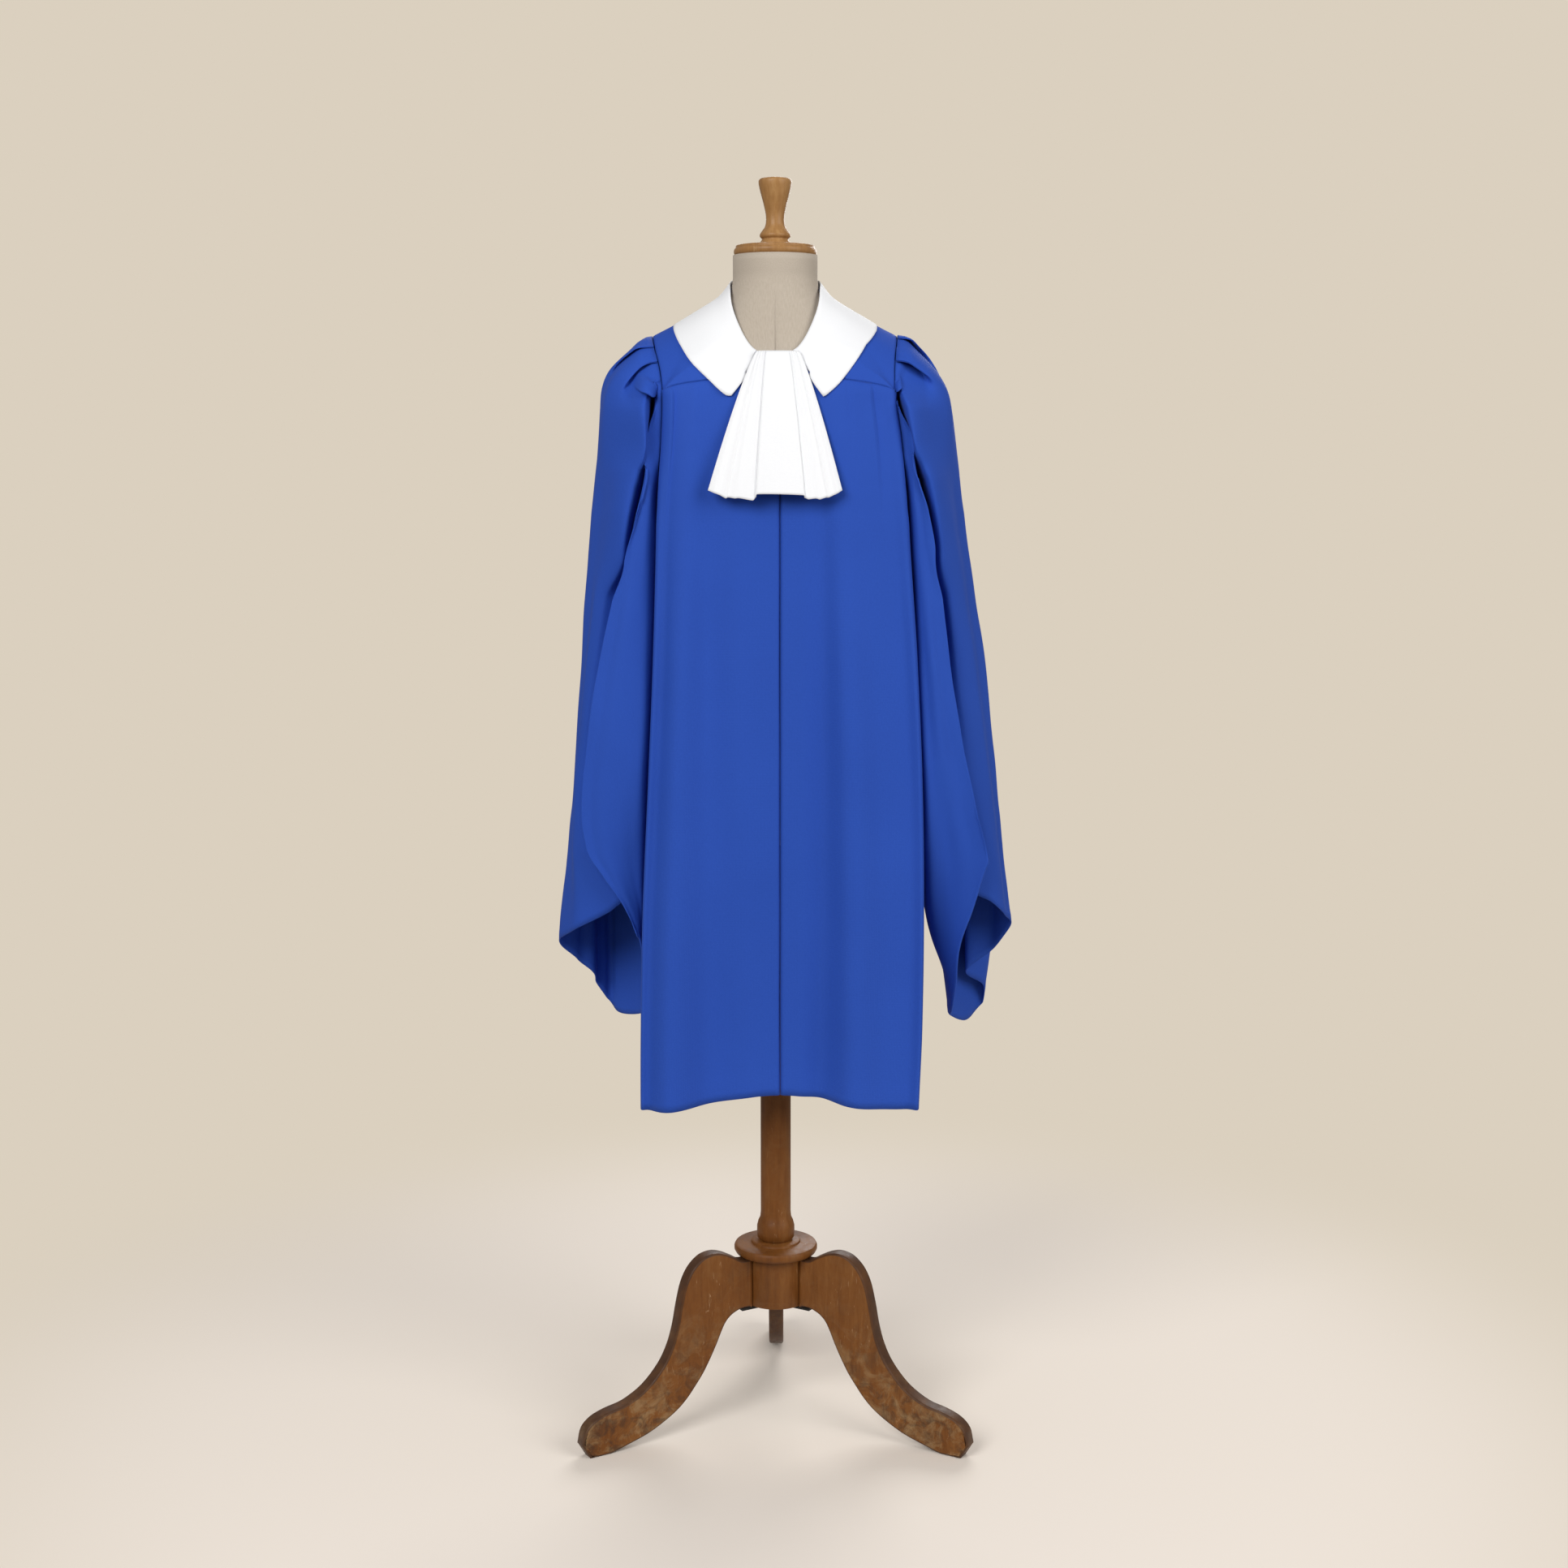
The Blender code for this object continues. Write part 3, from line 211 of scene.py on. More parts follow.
def loopAt(points, t):  # the same round a closed loop
    count = len(points)
    i = int(math.floor(t))
    near = [points[(i + k) % count] for k in (-1, 0, 1, 2)]
    return curveBetween(near[0], near[1], near[2], near[3], t - i)


def rowAtHeight(rows, z):  # rows run from the top down
    if z >= rows[0][0]:
        return rows[0]
    if z <= rows[-1][0]:
        return rows[-1]
    for i in range(len(rows) - 1):
        if z >= rows[i + 1][0]:
            t = (rows[i][0] - z) / (rows[i][0] - rows[i + 1][0])
            low = max(i - 1, 0)
            high = min(i + 2, len(rows) - 1)
            return curveBetween(rows[low], rows[i], rows[i + 1], rows[high], t)
    return rows[-1]


def rowAtValue(rows, value):  # rows rise in their first column
    for i in range(len(rows) - 1):
        if value <= rows[i + 1][0] or i == len(rows) - 2:
            return curveAt(rows, i + (value - rows[i][0]) / (rows[i + 1][0] - rows[i][0]))
    return rows[-1]


def edgeHeight(rows, value):  # smooth through (place, height) rows at uneven places
    last = len(rows) - 1
    i = 0
    while i < last - 1 and value > rows[i + 1][0]:
        i += 1
    slopes = []
    for k in (i, i + 1):
        before, after = rows[max(k - 1, 0)], rows[min(k + 1, last)]
        slopes.append((after[1] - before[1]) / (after[0] - before[0]))
    width = rows[i + 1][0] - rows[i][0]
    t = (value - rows[i][0]) / width
    if t < 0.0:
        return rows[i][1] + slopes[0] * (value - rows[i][0])
    if t > 1.0:
        return rows[i + 1][1] + slopes[1] * (value - rows[i + 1][0])
    up = t * t * (3.0 - 2.0 * t)
    bend = slopes[0] * width * t * (1.0 - t) ** 2 - slopes[1] * width * t * t * (1.0 - t)
    return mix(rows[i][1], rows[i + 1][1], up) + bend


def soft(x, y, z, size):  # gentle unevenness between -1 and 1
    return noise.noise(Vector((x / size, y / size, z / size)))


class Paint:  # a few lines to string shader nodes together

    def __init__(self, name):
        self.material = bpy.data.materials.new(name)
        self.material.use_nodes = True
        self.tree = self.material.node_tree
        self.shader = self.tree.nodes["Principled BSDF"]

    def set(self, values):
        for key, value in values.items():
            self.shader.inputs[key].default_value = value

    def link(self, socket, name):
        self.tree.links.new(socket, self.shader.inputs[name])

    def place(self, kind="Object"):
        return addNode(self.tree, "ShaderNodeTexCoord").outputs[kind]

    def moved(self, place, scale=(1.0, 1.0, 1.0), turn=(0.0, 0.0, 0.0), shift=(0.0, 0.0, 0.0)):
        inputs = {"Vector": place, "Location": shift, "Rotation": turn, "Scale": scale}
        return addNode(self.tree, "ShaderNodeMapping", inputs).outputs["Vector"]

    def cloud(self, place, scale, detail, roughness=0.5, distortion=0.0):
        inputs = {"Vector": place, "Scale": scale, "Detail": detail}
        inputs.update({"Roughness": roughness, "Distortion": distortion})
        return addNode(self.tree, "ShaderNodeTexNoise", inputs).outputs["Fac"]

    def sums(self, operation, a, b):
        return addNode(self.tree, "ShaderNodeMath", {0: a, 1: b}, operation=operation).outputs["Value"]

    def remap(self, value, before, after):
        inputs = {"Value": value, "From Min": before[0], "From Max": before[1]}
        inputs.update({"To Min": after[0], "To Max": after[1]})
        return addNode(self.tree, "ShaderNodeMapRange", inputs).outputs["Result"]

    def ramp(self, factor, stops):
        made = addNode(self.tree, "ShaderNodeValToRGB", {"Fac": factor})
        ramp = made.color_ramp
        while len(ramp.elements) < len(stops):
            ramp.elements.new(0.5)
        for element, (place, colour) in zip(ramp.elements, stops):
            element.position = place
            element.color = (*colour, 1.0)
        return made.outputs["Color"]

    def mask(self, factor, ends):  # from black to white between two values
        return self.ramp(factor, [(ends[0], (0.0, 0.0, 0.0)), (ends[1], (1.0, 1.0, 1.0))])

    def blend(self, amount, under, colour):
        inputs = {0: amount, 6: under, 7: (*colour, 1.0)}
        return addNode(self.tree, "ShaderNodeMix", inputs, data_type="RGBA").outputs[2]

    def bump(self, height, strength, distance, under=None):
        inputs = {"Height": height, "Strength": strength, "Distance": distance}
        if under:
            inputs["Normal"] = under
        return addNode(self.tree, "ShaderNodeBump", inputs).outputs["Normal"]


clothLook = {  # the same for every cloth
    "threadWander": 1.2, "threadDepth": 0.0003,
    "slubShare": 0.55, "slubDepth": 0.0008,
    "patchShare": 0.45, "patchScale": 7.0,
    "deepAt": 0.30, "lightAt": 0.70,
    "sheenRoughness": 0.45,
}
blueFinish = {
    "thread": 0.0007, "slubScale": 420.0, "weaveBump": 0.25, "slubBump": 0.18,
    "deep": (0.0120, 0.0600, 0.370), "light": (0.0150, 0.0700, 0.415),
    "roughness": 0.80, "sheen": 0.03, "sheenTint": (0.45, 0.60, 1.0), "specular": 0.30,
}
whiteFinish = {
    "thread": 0.0006, "slubScale": 500.0, "weaveBump": 0.20, "slubBump": 0.10,
    "deep": (0.785, 0.795, 0.820), "light": (0.82, 0.83, 0.85),
    "roughness": 0.70, "sheen": 0.10, "sheenTint": (1.0, 1.0, 1.0), "specular": 0.30,
}
linenFinish = {
    "thread": 0.0011, "slubScale": 300.0, "weaveBump": 0.30, "slubBump": 0.30,
    "deep": (0.395, 0.338, 0.275), "light": (0.505, 0.443, 0.368),
    "roughness": 0.90, "sheen": 0.05, "sheenTint": (1.0, 0.95, 0.9), "specular": 0.15,
}


def clothPaint(name, finish):
    look = clothLook
    paint = Paint(name)
    uv = paint.place("UV")
    threads = []
    for direction in ("X", "Y"):
        wave = addNode(paint.tree, "ShaderNodeTexWave", {
            "Vector": uv, "Scale": 1.0 / finish["thread"] / 2.0 / math.pi,
            "Distortion": look["threadWander"], "Detail": 1.0, "Detail Scale": 2.0,
        }, bands_direction=direction, wave_profile="SIN")
        threads.append(wave.outputs["Fac"])
    weave = paint.sums("MULTIPLY", threads[0], threads[1])
    slub = paint.cloud(uv, finish["slubScale"], 4.0, roughness=0.6)
    patch = paint.cloud(paint.place(), look["patchScale"], 3.0)
    tone = paint.sums("ADD", paint.sums("MULTIPLY", slub, look["slubShare"]),
                      paint.sums("MULTIPLY", patch, look["patchShare"]))
    colour = paint.ramp(tone, [(look["deepAt"], finish["deep"]), (look["lightAt"], finish["light"])])
    paint.link(colour, "Base Color")
    fine = paint.bump(weave, finish["weaveBump"], look["threadDepth"])
    paint.link(paint.bump(slub, finish["slubBump"], look["slubDepth"], fine), "Normal")
    paint.set({
        "Roughness": finish["roughness"], "Specular IOR Level": finish["specular"],
        "Sheen Weight": finish["sheen"], "Sheen Roughness": look["sheenRoughness"],
        "Sheen Tint": (*finish["sheenTint"], 1.0),
    })
    return paint


woodLook = {  # the same for both woods
    "wanderScale": 16.0, "toneAt": (0.28, 0.50, 0.72),
    "scratchTurn": (0.5, 0.35, 0.2), "scratchStretch": 0.22, "scratchScale": 190.0, "scratchAt": (0.66, 0.71),
    "scratchedScale": 15.0, "scratchedAt": (0.48, 0.60),  # patches that hold the scratches
    "rubAt": (0.46, 0.62),
    "blotchScale": 55.0, "blotchLeast": 0.35,
    "grainBump": 0.25, "grainDepth": 0.0006, "glossAt": (0.3, 0.7),
    "specular": 0.22,
}
goldenFinish = {
    "stretch": 0.16, "grainScale": 190.0, "scratch": 0.25, "edge": None,
    "dark": (0.22, 0.102, 0.033), "middle": (0.33, 0.170, 0.060), "light": (0.45, 0.260, 0.105),
    "scuff": (0.55, 0.38, 0.20), "gloss": (0.30, 0.48),
}
brownFinish = {
    "stretch": 0.14, "grainScale": 150.0, "scratch": 0.75, "edge": (0.060, 0.026, 0.012),
    "dark": (0.098, 0.031, 0.0055), "middle": (0.160, 0.055, 0.0098), "light": (0.222, 0.090, 0.022),
    "scuff": (0.36, 0.21, 0.105), "gloss": (0.36, 0.60),
    "toes": (0.04, 0.17), "toeRest": 0.10,  # rubs are strong below the first height, faint above the second
    # colour, scale, shift and strength of the rubbed patches
    "rubs": [((0.275, 0.170, 0.078), 34.0, 0.0, 0.80), ((0.040, 0.022, 0.014), 46.0, 1.7, 0.60)],
}


def wornColour(paint, place, colour, finish):  # rubbed near the floor and dark along its edges
    height = addNode(paint.tree, "ShaderNodeSeparateXYZ", {"Vector": place}).outputs["Z"]
    low = paint.remap(height, finish["toes"], (1.0, finish["toeRest"]))
    for rubColour, scale, shift, share in finish["rubs"]:
        patch = paint.cloud(paint.moved(place, shift=(shift, 0.0, shift)), scale, 8.0, 0.68, 1.0)
        spots = paint.mask(patch, woodLook["rubAt"])
        rubbed = paint.sums("MULTIPLY", paint.sums("MULTIPLY", spots, low), share)
        colour = paint.blend(rubbed, colour, rubColour)
    near = addNode(paint.tree, "ShaderNodeAttribute", attribute_name="edgeWear").outputs["Fac"]
    blotch = paint.cloud(place, woodLook["blotchScale"], 3.0)
    rim = paint.sums("MULTIPLY", near, paint.sums("ADD", blotch, woodLook["blotchLeast"]))
    return paint.blend(rim, colour, finish["edge"])


def woodPaint(name, finish):
    look = woodLook
    paint = Paint(name)
    place = paint.place()
    along = paint.moved(place, scale=(1.0, 1.0, finish["stretch"]))
    wander = paint.cloud(along, look["wanderScale"], 4.0, distortion=0.6)
    grain = paint.cloud(along, finish["grainScale"], 6.0, 0.65, 0.4)
    tone = paint.sums("ADD", paint.sums("MULTIPLY", wander, 0.5), paint.sums("MULTIPLY", grain, 0.5))
    shades = [finish[shade] for shade in ("dark", "middle", "light")]
    colour = paint.ramp(tone, list(zip(look["toneAt"], shades)))
    streak = paint.moved(place, scale=(1.0, 1.0, look["scratchStretch"]), turn=look["scratchTurn"])
    thin = paint.mask(paint.cloud(streak, look["scratchScale"], 3.0, distortion=1.8), look["scratchAt"])
    some = paint.mask(paint.cloud(place, look["scratchedScale"], 3.0), look["scratchedAt"])
    scratches = paint.sums("MULTIPLY", paint.sums("MULTIPLY", thin, some), finish["scratch"])
    colour = paint.blend(scratches, colour, finish["scuff"])
    if finish["edge"]:
        colour = wornColour(paint, place, colour, finish)
    paint.link(colour, "Base Color")
    paint.link(paint.bump(grain, look["grainBump"], look["grainDepth"]), "Normal")
    paint.link(paint.remap(grain, look["glossAt"], finish["gloss"]), "Roughness")
    paint.set({"Specular IOR Level": look["specular"]})
    return paint


ironFinish = {
    "colour": (0.012, 0.012, 0.013), "spot": (0.03, 0.026, 0.022), "spotScale": 90.0, "spotAt": (0.35, 0.70),
    "roughness": 0.55, "metallic": 0.6,
}


def platePaint(name, finish):
    paint = Paint(name)
    spots = paint.cloud(paint.place(), finish["spotScale"], 4.0)
    shades = zip(finish["spotAt"], (finish["colour"], finish["spot"]))
    paint.link(paint.ramp(spots, list(shades)), "Base Color")
    paint.set({"Roughness": finish["roughness"], "Metallic": finish["metallic"]})
    return paint


bluePaint = clothPaint("blueCloth", blueFinish)
whitePaint = clothPaint("whiteCloth", whiteFinish)
linenPaint = clothPaint("formLinen", linenFinish)
goldenPaint = woodPaint("goldenWood", goldenFinish)
brownPaint = woodPaint("brownWood", brownFinish)
ironPaint = platePaint("blackIron", ironFinish)
print("materials made")


def finishPiece(name, bm, paint, node, wall=0.0):
    bmesh.ops.translate(bm, verts=bm.verts, vec=(standX, standY, 0.0))
    for face in bm.faces:
        face.smooth = True
    mesh = bpy.data.meshes.new(name)
    bm.to_mesh(mesh)
    bm.free()
    mesh.materials.append(paint.material)
    piece = bpy.data.objects.new(name, mesh)
    bpy.context.scene.collection.objects.link(piece)
    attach(piece, "root")
    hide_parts(node)
    if wall:
        thick = piece.modifiers.new("wall", "SOLIDIFY")
        thick.thickness = wall
        thick.offset = -1.0
        thick.use_rim = True
    return piece


weld = 0.00002  # points nearer than this become one


def clothGrid(columns, rows, pointAt, pattern, closed=False, outwards=None, rowAt=None):
    # pointAt gives the place of a share across and a share down, and pattern is the flat size of the weave
    bm = bmesh.new()
    bmesh.ops.create_grid(bm, x_segments=columns, y_segments=rows, size=0.5)
    cut = bm.loops.layers.uv.new("cut")
    shares = {}
    for vertex in bm.verts:
        across = min(max(vertex.co.x + 0.5, 0.0), 1.0)
        down = min(max(0.5 - vertex.co.y, 0.0), 1.0)
        if rowAt:
            down = rowAt(down)
        shares[vertex] = (across, down)
        vertex.co = pointAt(across, down)
    for face in bm.faces:
        for loop in face.loops:
            across, down = shares[loop.vert]
            loop[cut].uv = (across * pattern[0], -down * pattern[1])
    if closed:
        bmesh.ops.remove_doubles(bm, verts=bm.verts, dist=weld)
    bm.normal_update()
    facing = 0.0
    for face in bm.faces:
        middle = face.calc_center_median()
        way = outwards(middle) if outwards else Vector((middle.x, middle.y, 0.0))
        facing += face.normal.dot(way) * face.calc_area()
    if facing < 0.0:
        bmesh.ops.reverse_faces(bm, faces=bm.faces)
    return bm


def overShoulders(middle):  # outwards for what lies on the shoulders
    return Vector((middle.x * 0.3, middle.y * 0.6, 0.06))


robe = {
    "wall": 0.0014,
    "gap": 0.0003,  # between cloths that meet
    "centreX": 0.006,
    "sideRecess": 0.012,  # the side seams lie this far inside the widest line
    "sideTurn": (0.003, 0.030),  # last bend before a side seam
    "hemCentre": 0.464, "hemCorner": 0.4490, "hemBack": 0.448,
    "topCorner": 1.3385,
    "seamFrom": 1.24, "hemFrom": 0.75,  # heights where the yoke seam's and the hem's own lines begin
    "foldStart": 0.03, "centreStart": 0.02,  # shares of the way down over which the folds grow
    "frontShare": 0.667,  # share of a front that hangs from the yoke
    "foldReach": 0.160, "pleatReach": 0.155,  # its width there, for the folds and for the pleats
    "evenAcross": 0.74, "evenShare": 0.62,  # columns lie closer beside the armhole
    "evenDown": 0.42,  # and so do the rows
    "plainFrom": 0.50, "plainOver": 0.20,  # the folds die out towards the side seams
    "besideArmhole": 0.10,  # width of a panel there
    "unevenHeight": 0.0011, "unevenSize": 0.045, "unevenStretch": 0.35, "unevenStart": 0.10,
    "backShift": 3.0,  # so that the back isn't uneven in the same way
    "columns": 88, "rows": 128,
    "backColumns": 150,
    "frontPattern": (0.26, 0.90), "backPattern": (0.54, 0.90),
}
seams = {  # how far from a seam the cloth rounds away into it, and how deep
    "yoke": (0.0035, 0.0011), "centre": (0.0040, 0.0030), "armhole": (0.0035, 0.0011),
    "sleeve": (0.0035, 0.0007), "yokeEdge": (0.0040, 0.0009),
}
hems = {"robe": 0.030, "sleeve": 0.012, "rise": 0.0006, "step": 0.002}  # depths, then the rise and its width
# height, left reach, right reach, front depth, corner depth, back depth
bodyRows = [
    (1.372, 0.142, 0.146, 0.088, 0.074, 0.086),
    (1.337, 0.137, 0.146, 0.100, 0.085, 0.094),
    (1.285, 0.138, 0.153, 0.108, 0.091, 0.102),
    (1.223, 0.142, 0.159, 0.113, 0.096, 0.107),
    (1.183, 0.1445, 0.163, 0.115, 0.098, 0.108),
    (1.023, 0.1495, 0.174, 0.118, 0.102, 0.110),
    (0.860, 0.157, 0.182, 0.121, 0.105, 0.112),
    (0.694, 0.165, 0.185, 0.124, 0.108, 0.115),
    (0.547, 0.1685, 0.184, 0.126, 0.110, 0.118),
    (0.430, 0.1695, 0.180, 0.128, 0.111, 0.120),
]
# first points of a level's outline, in front and at the back: share of the way from
# the middle to the widest line, then how far short of that line and of the depth
outlineStart = {
    False: [(0.0, 0.0, 0.0), (0.30, 0.0, 0.0), (0.60, 0.0, 0.001), (1.0, 0.018, 0.005)],
    True: [(0.0, 0.0, 0.0), (0.30, 0.0, 0.0005), (0.60, 0.0, 0.003), (1.0, 0.020, 0.011),
           (1.0, 0.003, 0.030)],
}
# place at yoke and hem as a share of the way to the corner, half widths there in
# metres, and height at the yoke, half way down and at the hem
frontFolds = {
    -1: [
        (0.02, 0.02, 0.020, 0.055, 0.0000, -0.0060, -0.0230),
        (0.46, 0.43, 0.015, 0.021, -0.0010, -0.0068, -0.0100),
        (0.63, 0.63, 0.012, 0.018, 0.0016, 0.0078, 0.0100),
        (0.84, 0.84, 0.010, 0.018, 0.0000, -0.0054, -0.0060),
    ],
    1: [
        (0.02, 0.02, 0.020, 0.055, 0.0000, -0.0060, -0.0230),
        (0.25, 0.25, 0.009, 0.012, -0.0010, -0.0068, -0.0090),
        (0.41, 0.42, 0.011, 0.017, 0.0016, 0.0084, 0.0105),
        (0.70, 0.72, 0.014, 0.024, -0.0016, -0.0078, -0.0088),
    ],
}
backFlutes = {
    "count": 7, "yoke": 0.0016, "hem": 0.0085, "start": 0.03,
    "drift": 0.16, "driftTurn": 5.0, "uneven": 0.28, "unevenTurn": 3.7, "unevenFrom": 1.1,
    "gather": 0.0011, "gatherTurn": 2.6, "gatherFrom": 0.8, "gatherStart": 0.01, "gatherRun": 0.16,
}
# small pleats under the yoke's front seam: share of the way to the corner, step
# in metres, how far down they run, width of the soft side, side that lies on top
yokePleats = {
    -1: [(0.800, 0.0052, 0.210, 0.030, 1), (0.58, 0.0014, 0.080, 0.016, 1)],
    1: [(0.660, 0.0052, 0.190, 0.030, -1), (0.47, 0.0014, 0.090, 0.016, -1)],
}
# how far above the seam a pleat starts, the way to its full height, and its sharp side
pleatShape = {"above": 0.002, "start": 0.012, "sharp": 0.0016}
# places round the armhole, which start at 0 under the arm
armhole = {"frontCorner": 4.0, "shoulder": 6.0, "backCorner": 8.0, "turn": 12.0, "halvings": 20}
# place, height, share of the front's cut and share of the back's cut
armholeLow = [
    (0.0, 1.1900, 1.000, 1.000), (0.5, 1.1925, 0.915, 0.915), (1.0, 1.2030, 0.800, 0.800),
    (2.0, 1.2450, 0.685, 0.680), (3.0, 1.2930, 0.667, 0.625), (4.0, 1.3385, 0.667, 0.600),
]
# place, half width on the left and on the right, y and height
armholeHigh = [
    (4.7, 0.1410, 0.1465, -0.066, 1.3650), (5.3, 0.1480, 0.1490, -0.040, 1.3900),
    (6.0, 0.1530, 0.1520, 0.000, 1.4085), (6.7, 0.1480, 0.1500, 0.038, 1.3930),
    (7.3, 0.1400, 0.1470, 0.064, 1.3680),
]
# share of the cut, height in front and at the back
yokeSeam = [
    (0.000, 1.3600, 1.3300), (0.200, 1.3560, 1.3310), (0.450, 1.3480, 1.3340), (0.680, 1.3385, 1.3385),
]


def bodySection(side, share, z, back=False):  # x and y on the robe at a share of its cut
    row = rowAtHeight(bodyRows, z)
    reach = row[1] if side < 0 else row[2]
    middle, way, depth = (0.0, 1.0, row[5]) if back else (robe["centreX"], -1.0, row[3])
    points = []
    for part, inside, behind in outlineStart[back]:
        points.append((mix(middle, side * reach, part) - side * inside, way * (depth - behind)))
    if not back:
        points.append((side * reach, -row[4]))
    widest = reach - robe["sideRecess"]
    points.append((side * (widest + robe["sideTurn"][0]), way * robe["sideTurn"][1]))
    points.append((side * widest, 0.0))
    return curveAt(points, share * (len(points) - 1))


def armholeAt(side, place):
    back = place > armhole["shoulder"]
    low = armhole["turn"] - place if back else place
    if low <= armhole["frontCorner"]:
        row = rowAtValue(armholeLow, low)
        x, y = bodySection(side, min(row[3] if back else row[2], 1.0), row[1], back)
        return (x, y, row[1])
    ends = []
    row = armholeLow[-1]
    for end, isBack in ((armhole["frontCorner"], False), (armhole["backCorner"], True)):
        x, y = bodySection(side, row[3] if isBack else row[2], row[1], isBack)
        ends.append((end, side * x, side * x, y, row[1]))
    row = rowAtValue([ends[0]] + armholeHigh + [ends[1]], place)
    return (side * (row[1] if side < 0 else row[2]), row[3], row[4])


def yokeHeight(share, back):
    return rowAtValue(yokeSeam, min(share, yokeSeam[-1][0]))[2 if back else 1]


def panelLimit(z, back):  # share of the panel that is cloth at a height
    if z <= armholeLow[0][1]:
        return 1.0
    if z >= armholeLow[-1][1]:
        return armholeLow[-1][3 if back else 2]
    low, high = 0.0, armhole["frontCorner"]
    for step in range(armhole["halvings"]):
        middle = 0.5 * (low + high)
        if rowAtValue(armholeLow, middle)[1] < z:
            low = middle
        else:
            high = middle
    return min(rowAtValue(armholeLow, low)[3 if back else 2], 1.0)


def frontFold(side, share, down):
    total = 0.0
    for yoke, hem, wideTop, wideHem, top, middle, bottom in frontFolds[side]:
        place = mix(yoke, hem, down)
        half = mix(wideTop, wideHem, ease(down))
        if down < 0.5:
            height = mix(top, middle, ease(down * 2.0))
        else:
            height = mix(middle, bottom, ease(down * 2.0 - 1.0))
        total += height * hump((share / robe["frontShare"] - place) * robe["foldReach"] / (2.0 * half))
    return total


def pleatStep(side, share, fallen):  # knife pleat: a sharp step with a soft side
    total = 0.0
    for place, height, run, width, way in yokePleats[side]:
        away = way * (share / robe["frontShare"] - place) * robe["pleatReach"]
        fade = (1.0 - ease(fallen / run)) * ease((fallen + pleatShape["above"]) / pleatShape["start"])
        if away >= 0.0:
            total += height * fade * (1.0 - ease(away / width))
        else:
            total += height * fade * ease(1.0 + away / pleatShape["sharp"])
    return total


def backFlute(side, share, down):
    flute = backFlutes
    height = mix(flute["yoke"], flute["hem"], ease(down)) * ease(down / flute["start"])
    turn = side * share / robe["frontShare"] * flute["count"] * 0.5
    turn += flute["drift"] * math.sin(flute["driftTurn"] * share + side)
    uneven = 1.0 + flute["uneven"] * math.sin(flute["unevenTurn"] * turn + flute["unevenFrom"])
    gather = flute["gather"] * math.cos(2.0 * math.pi * turn * flute["gatherTurn"] + flute["gatherFrom"])
    gather *= ease(down / flute["gatherStart"]) * (1.0 - ease(down / flute["gatherRun"]))
    return height * uneven * math.cos(2.0 * math.pi * turn) + gather


def seamRoll(distance, seam):  # cloth rounds away into its seam
    reach, depth = seams[seam]
    t = max(1.0 - max(distance, 0.0) / reach, 0.0)
    return depth * t * t


def hemStep(above, depth):  # a turned hem is twice as thick
    return hems["rise"] * ease((depth - above) / hems["step"])


def panelPoint(side, across, level, back):
    even = robe["evenAcross"]
    if across < even:
        share = across * robe["evenShare"] / even
    else:
        share = mix(robe["evenShare"], panelLimit(level, back), (across - even) / (1.0 - even))
    top, low = robe["topCorner"], robe["hemCorner"]
    z = level + (yokeHeight(share, back) - top) * ease((level - robe["seamFrom"]) / (top - robe["seamFrom"]))
    hem = robe["hemBack"] if back else mix(robe["hemCentre"], low, ease(share * 2.0))
    z += (hem - low) * ease((robe["hemFrom"] - level) / (robe["hemFrom"] - low))
    x, y = bodySection(side, share, z, back)
    fallen = top - level
    down = fallen / (top - low)
    edge = 1.0 - ease((share - robe["plainFrom"]) / robe["plainOver"])
    out = 0.0
    if back:
        out += backFlute(side, share, down) * edge
    else:
        out += frontFold(side, share, down) * edge * ease(down / robe["foldStart"])
        out += pleatStep(side, share, fallen) * edge
        out -= seamRoll(abs(x - robe["centreX"]), "centre") * ease(down / robe["centreStart"])
    shift = robe["backShift"] if back else 0.0
    uneven = soft(x + side, y + shift, z * robe["unevenStretch"], robe["unevenSize"])
    out += robe["unevenHeight"] * uneven * ease(down / robe["unevenStart"]) * edge
    out -= seamRoll(fallen, "yoke")
    out += hemStep(level - low, hems["robe"])
    y += out if back else -out
    if share > 0.5 and level > armholeLow[0][1]:
        x -= side * seamRoll((1.0 - across) * robe["besideArmhole"], "armhole")
    return (x, y, z)


def panelLevel(w):  # more rows beside the armhole
    even = robe["evenDown"]
    if w < even:
        return mix(robe["topCorner"] - 0.5 * robe["gap"], armholeLow[0][1], w / even)
    return mix(armholeLow[0][1], robe["hemCorner"], (w - even) / (1.0 - even))


def makeFront(side, name, node):
    def pointAt(u, w):
        x, y, z = panelPoint(side, u, panelLevel(w), False)
        if u < tiny:
            x += side * 0.5 * robe["gap"]
        if u > 1.0 - tiny:
            y -= 0.5 * robe["gap"]
        return (x, y, z)

    bm = clothGrid(robe["columns"], robe["rows"], pointAt, robe["frontPattern"])
    return finishPiece(name, bm, bluePaint, node, robe["wall"])


def makeBack():
    def pointAt(u, w):
        side = -1 if u < 0.5 else 1
        x, y, z = panelPoint(side, abs(2.0 * u - 1.0), panelLevel(w), True)
        if u < tiny or u > 1.0 - tiny:
            y += 0.5 * robe["gap"]
        return (x, y, z)

    bm = clothGrid(robe["backColumns"], robe["rows"], pointAt, robe["backPattern"])
    return finishPiece("backPanel", bm, bluePaint, "back", robe["wall"])


frontLeft = makeFront(-1, "frontLeft", "front_left")
frontRight = makeFront(1, "frontRight", "front_right")
backPanel = makeBack()
print("fronts and back made")


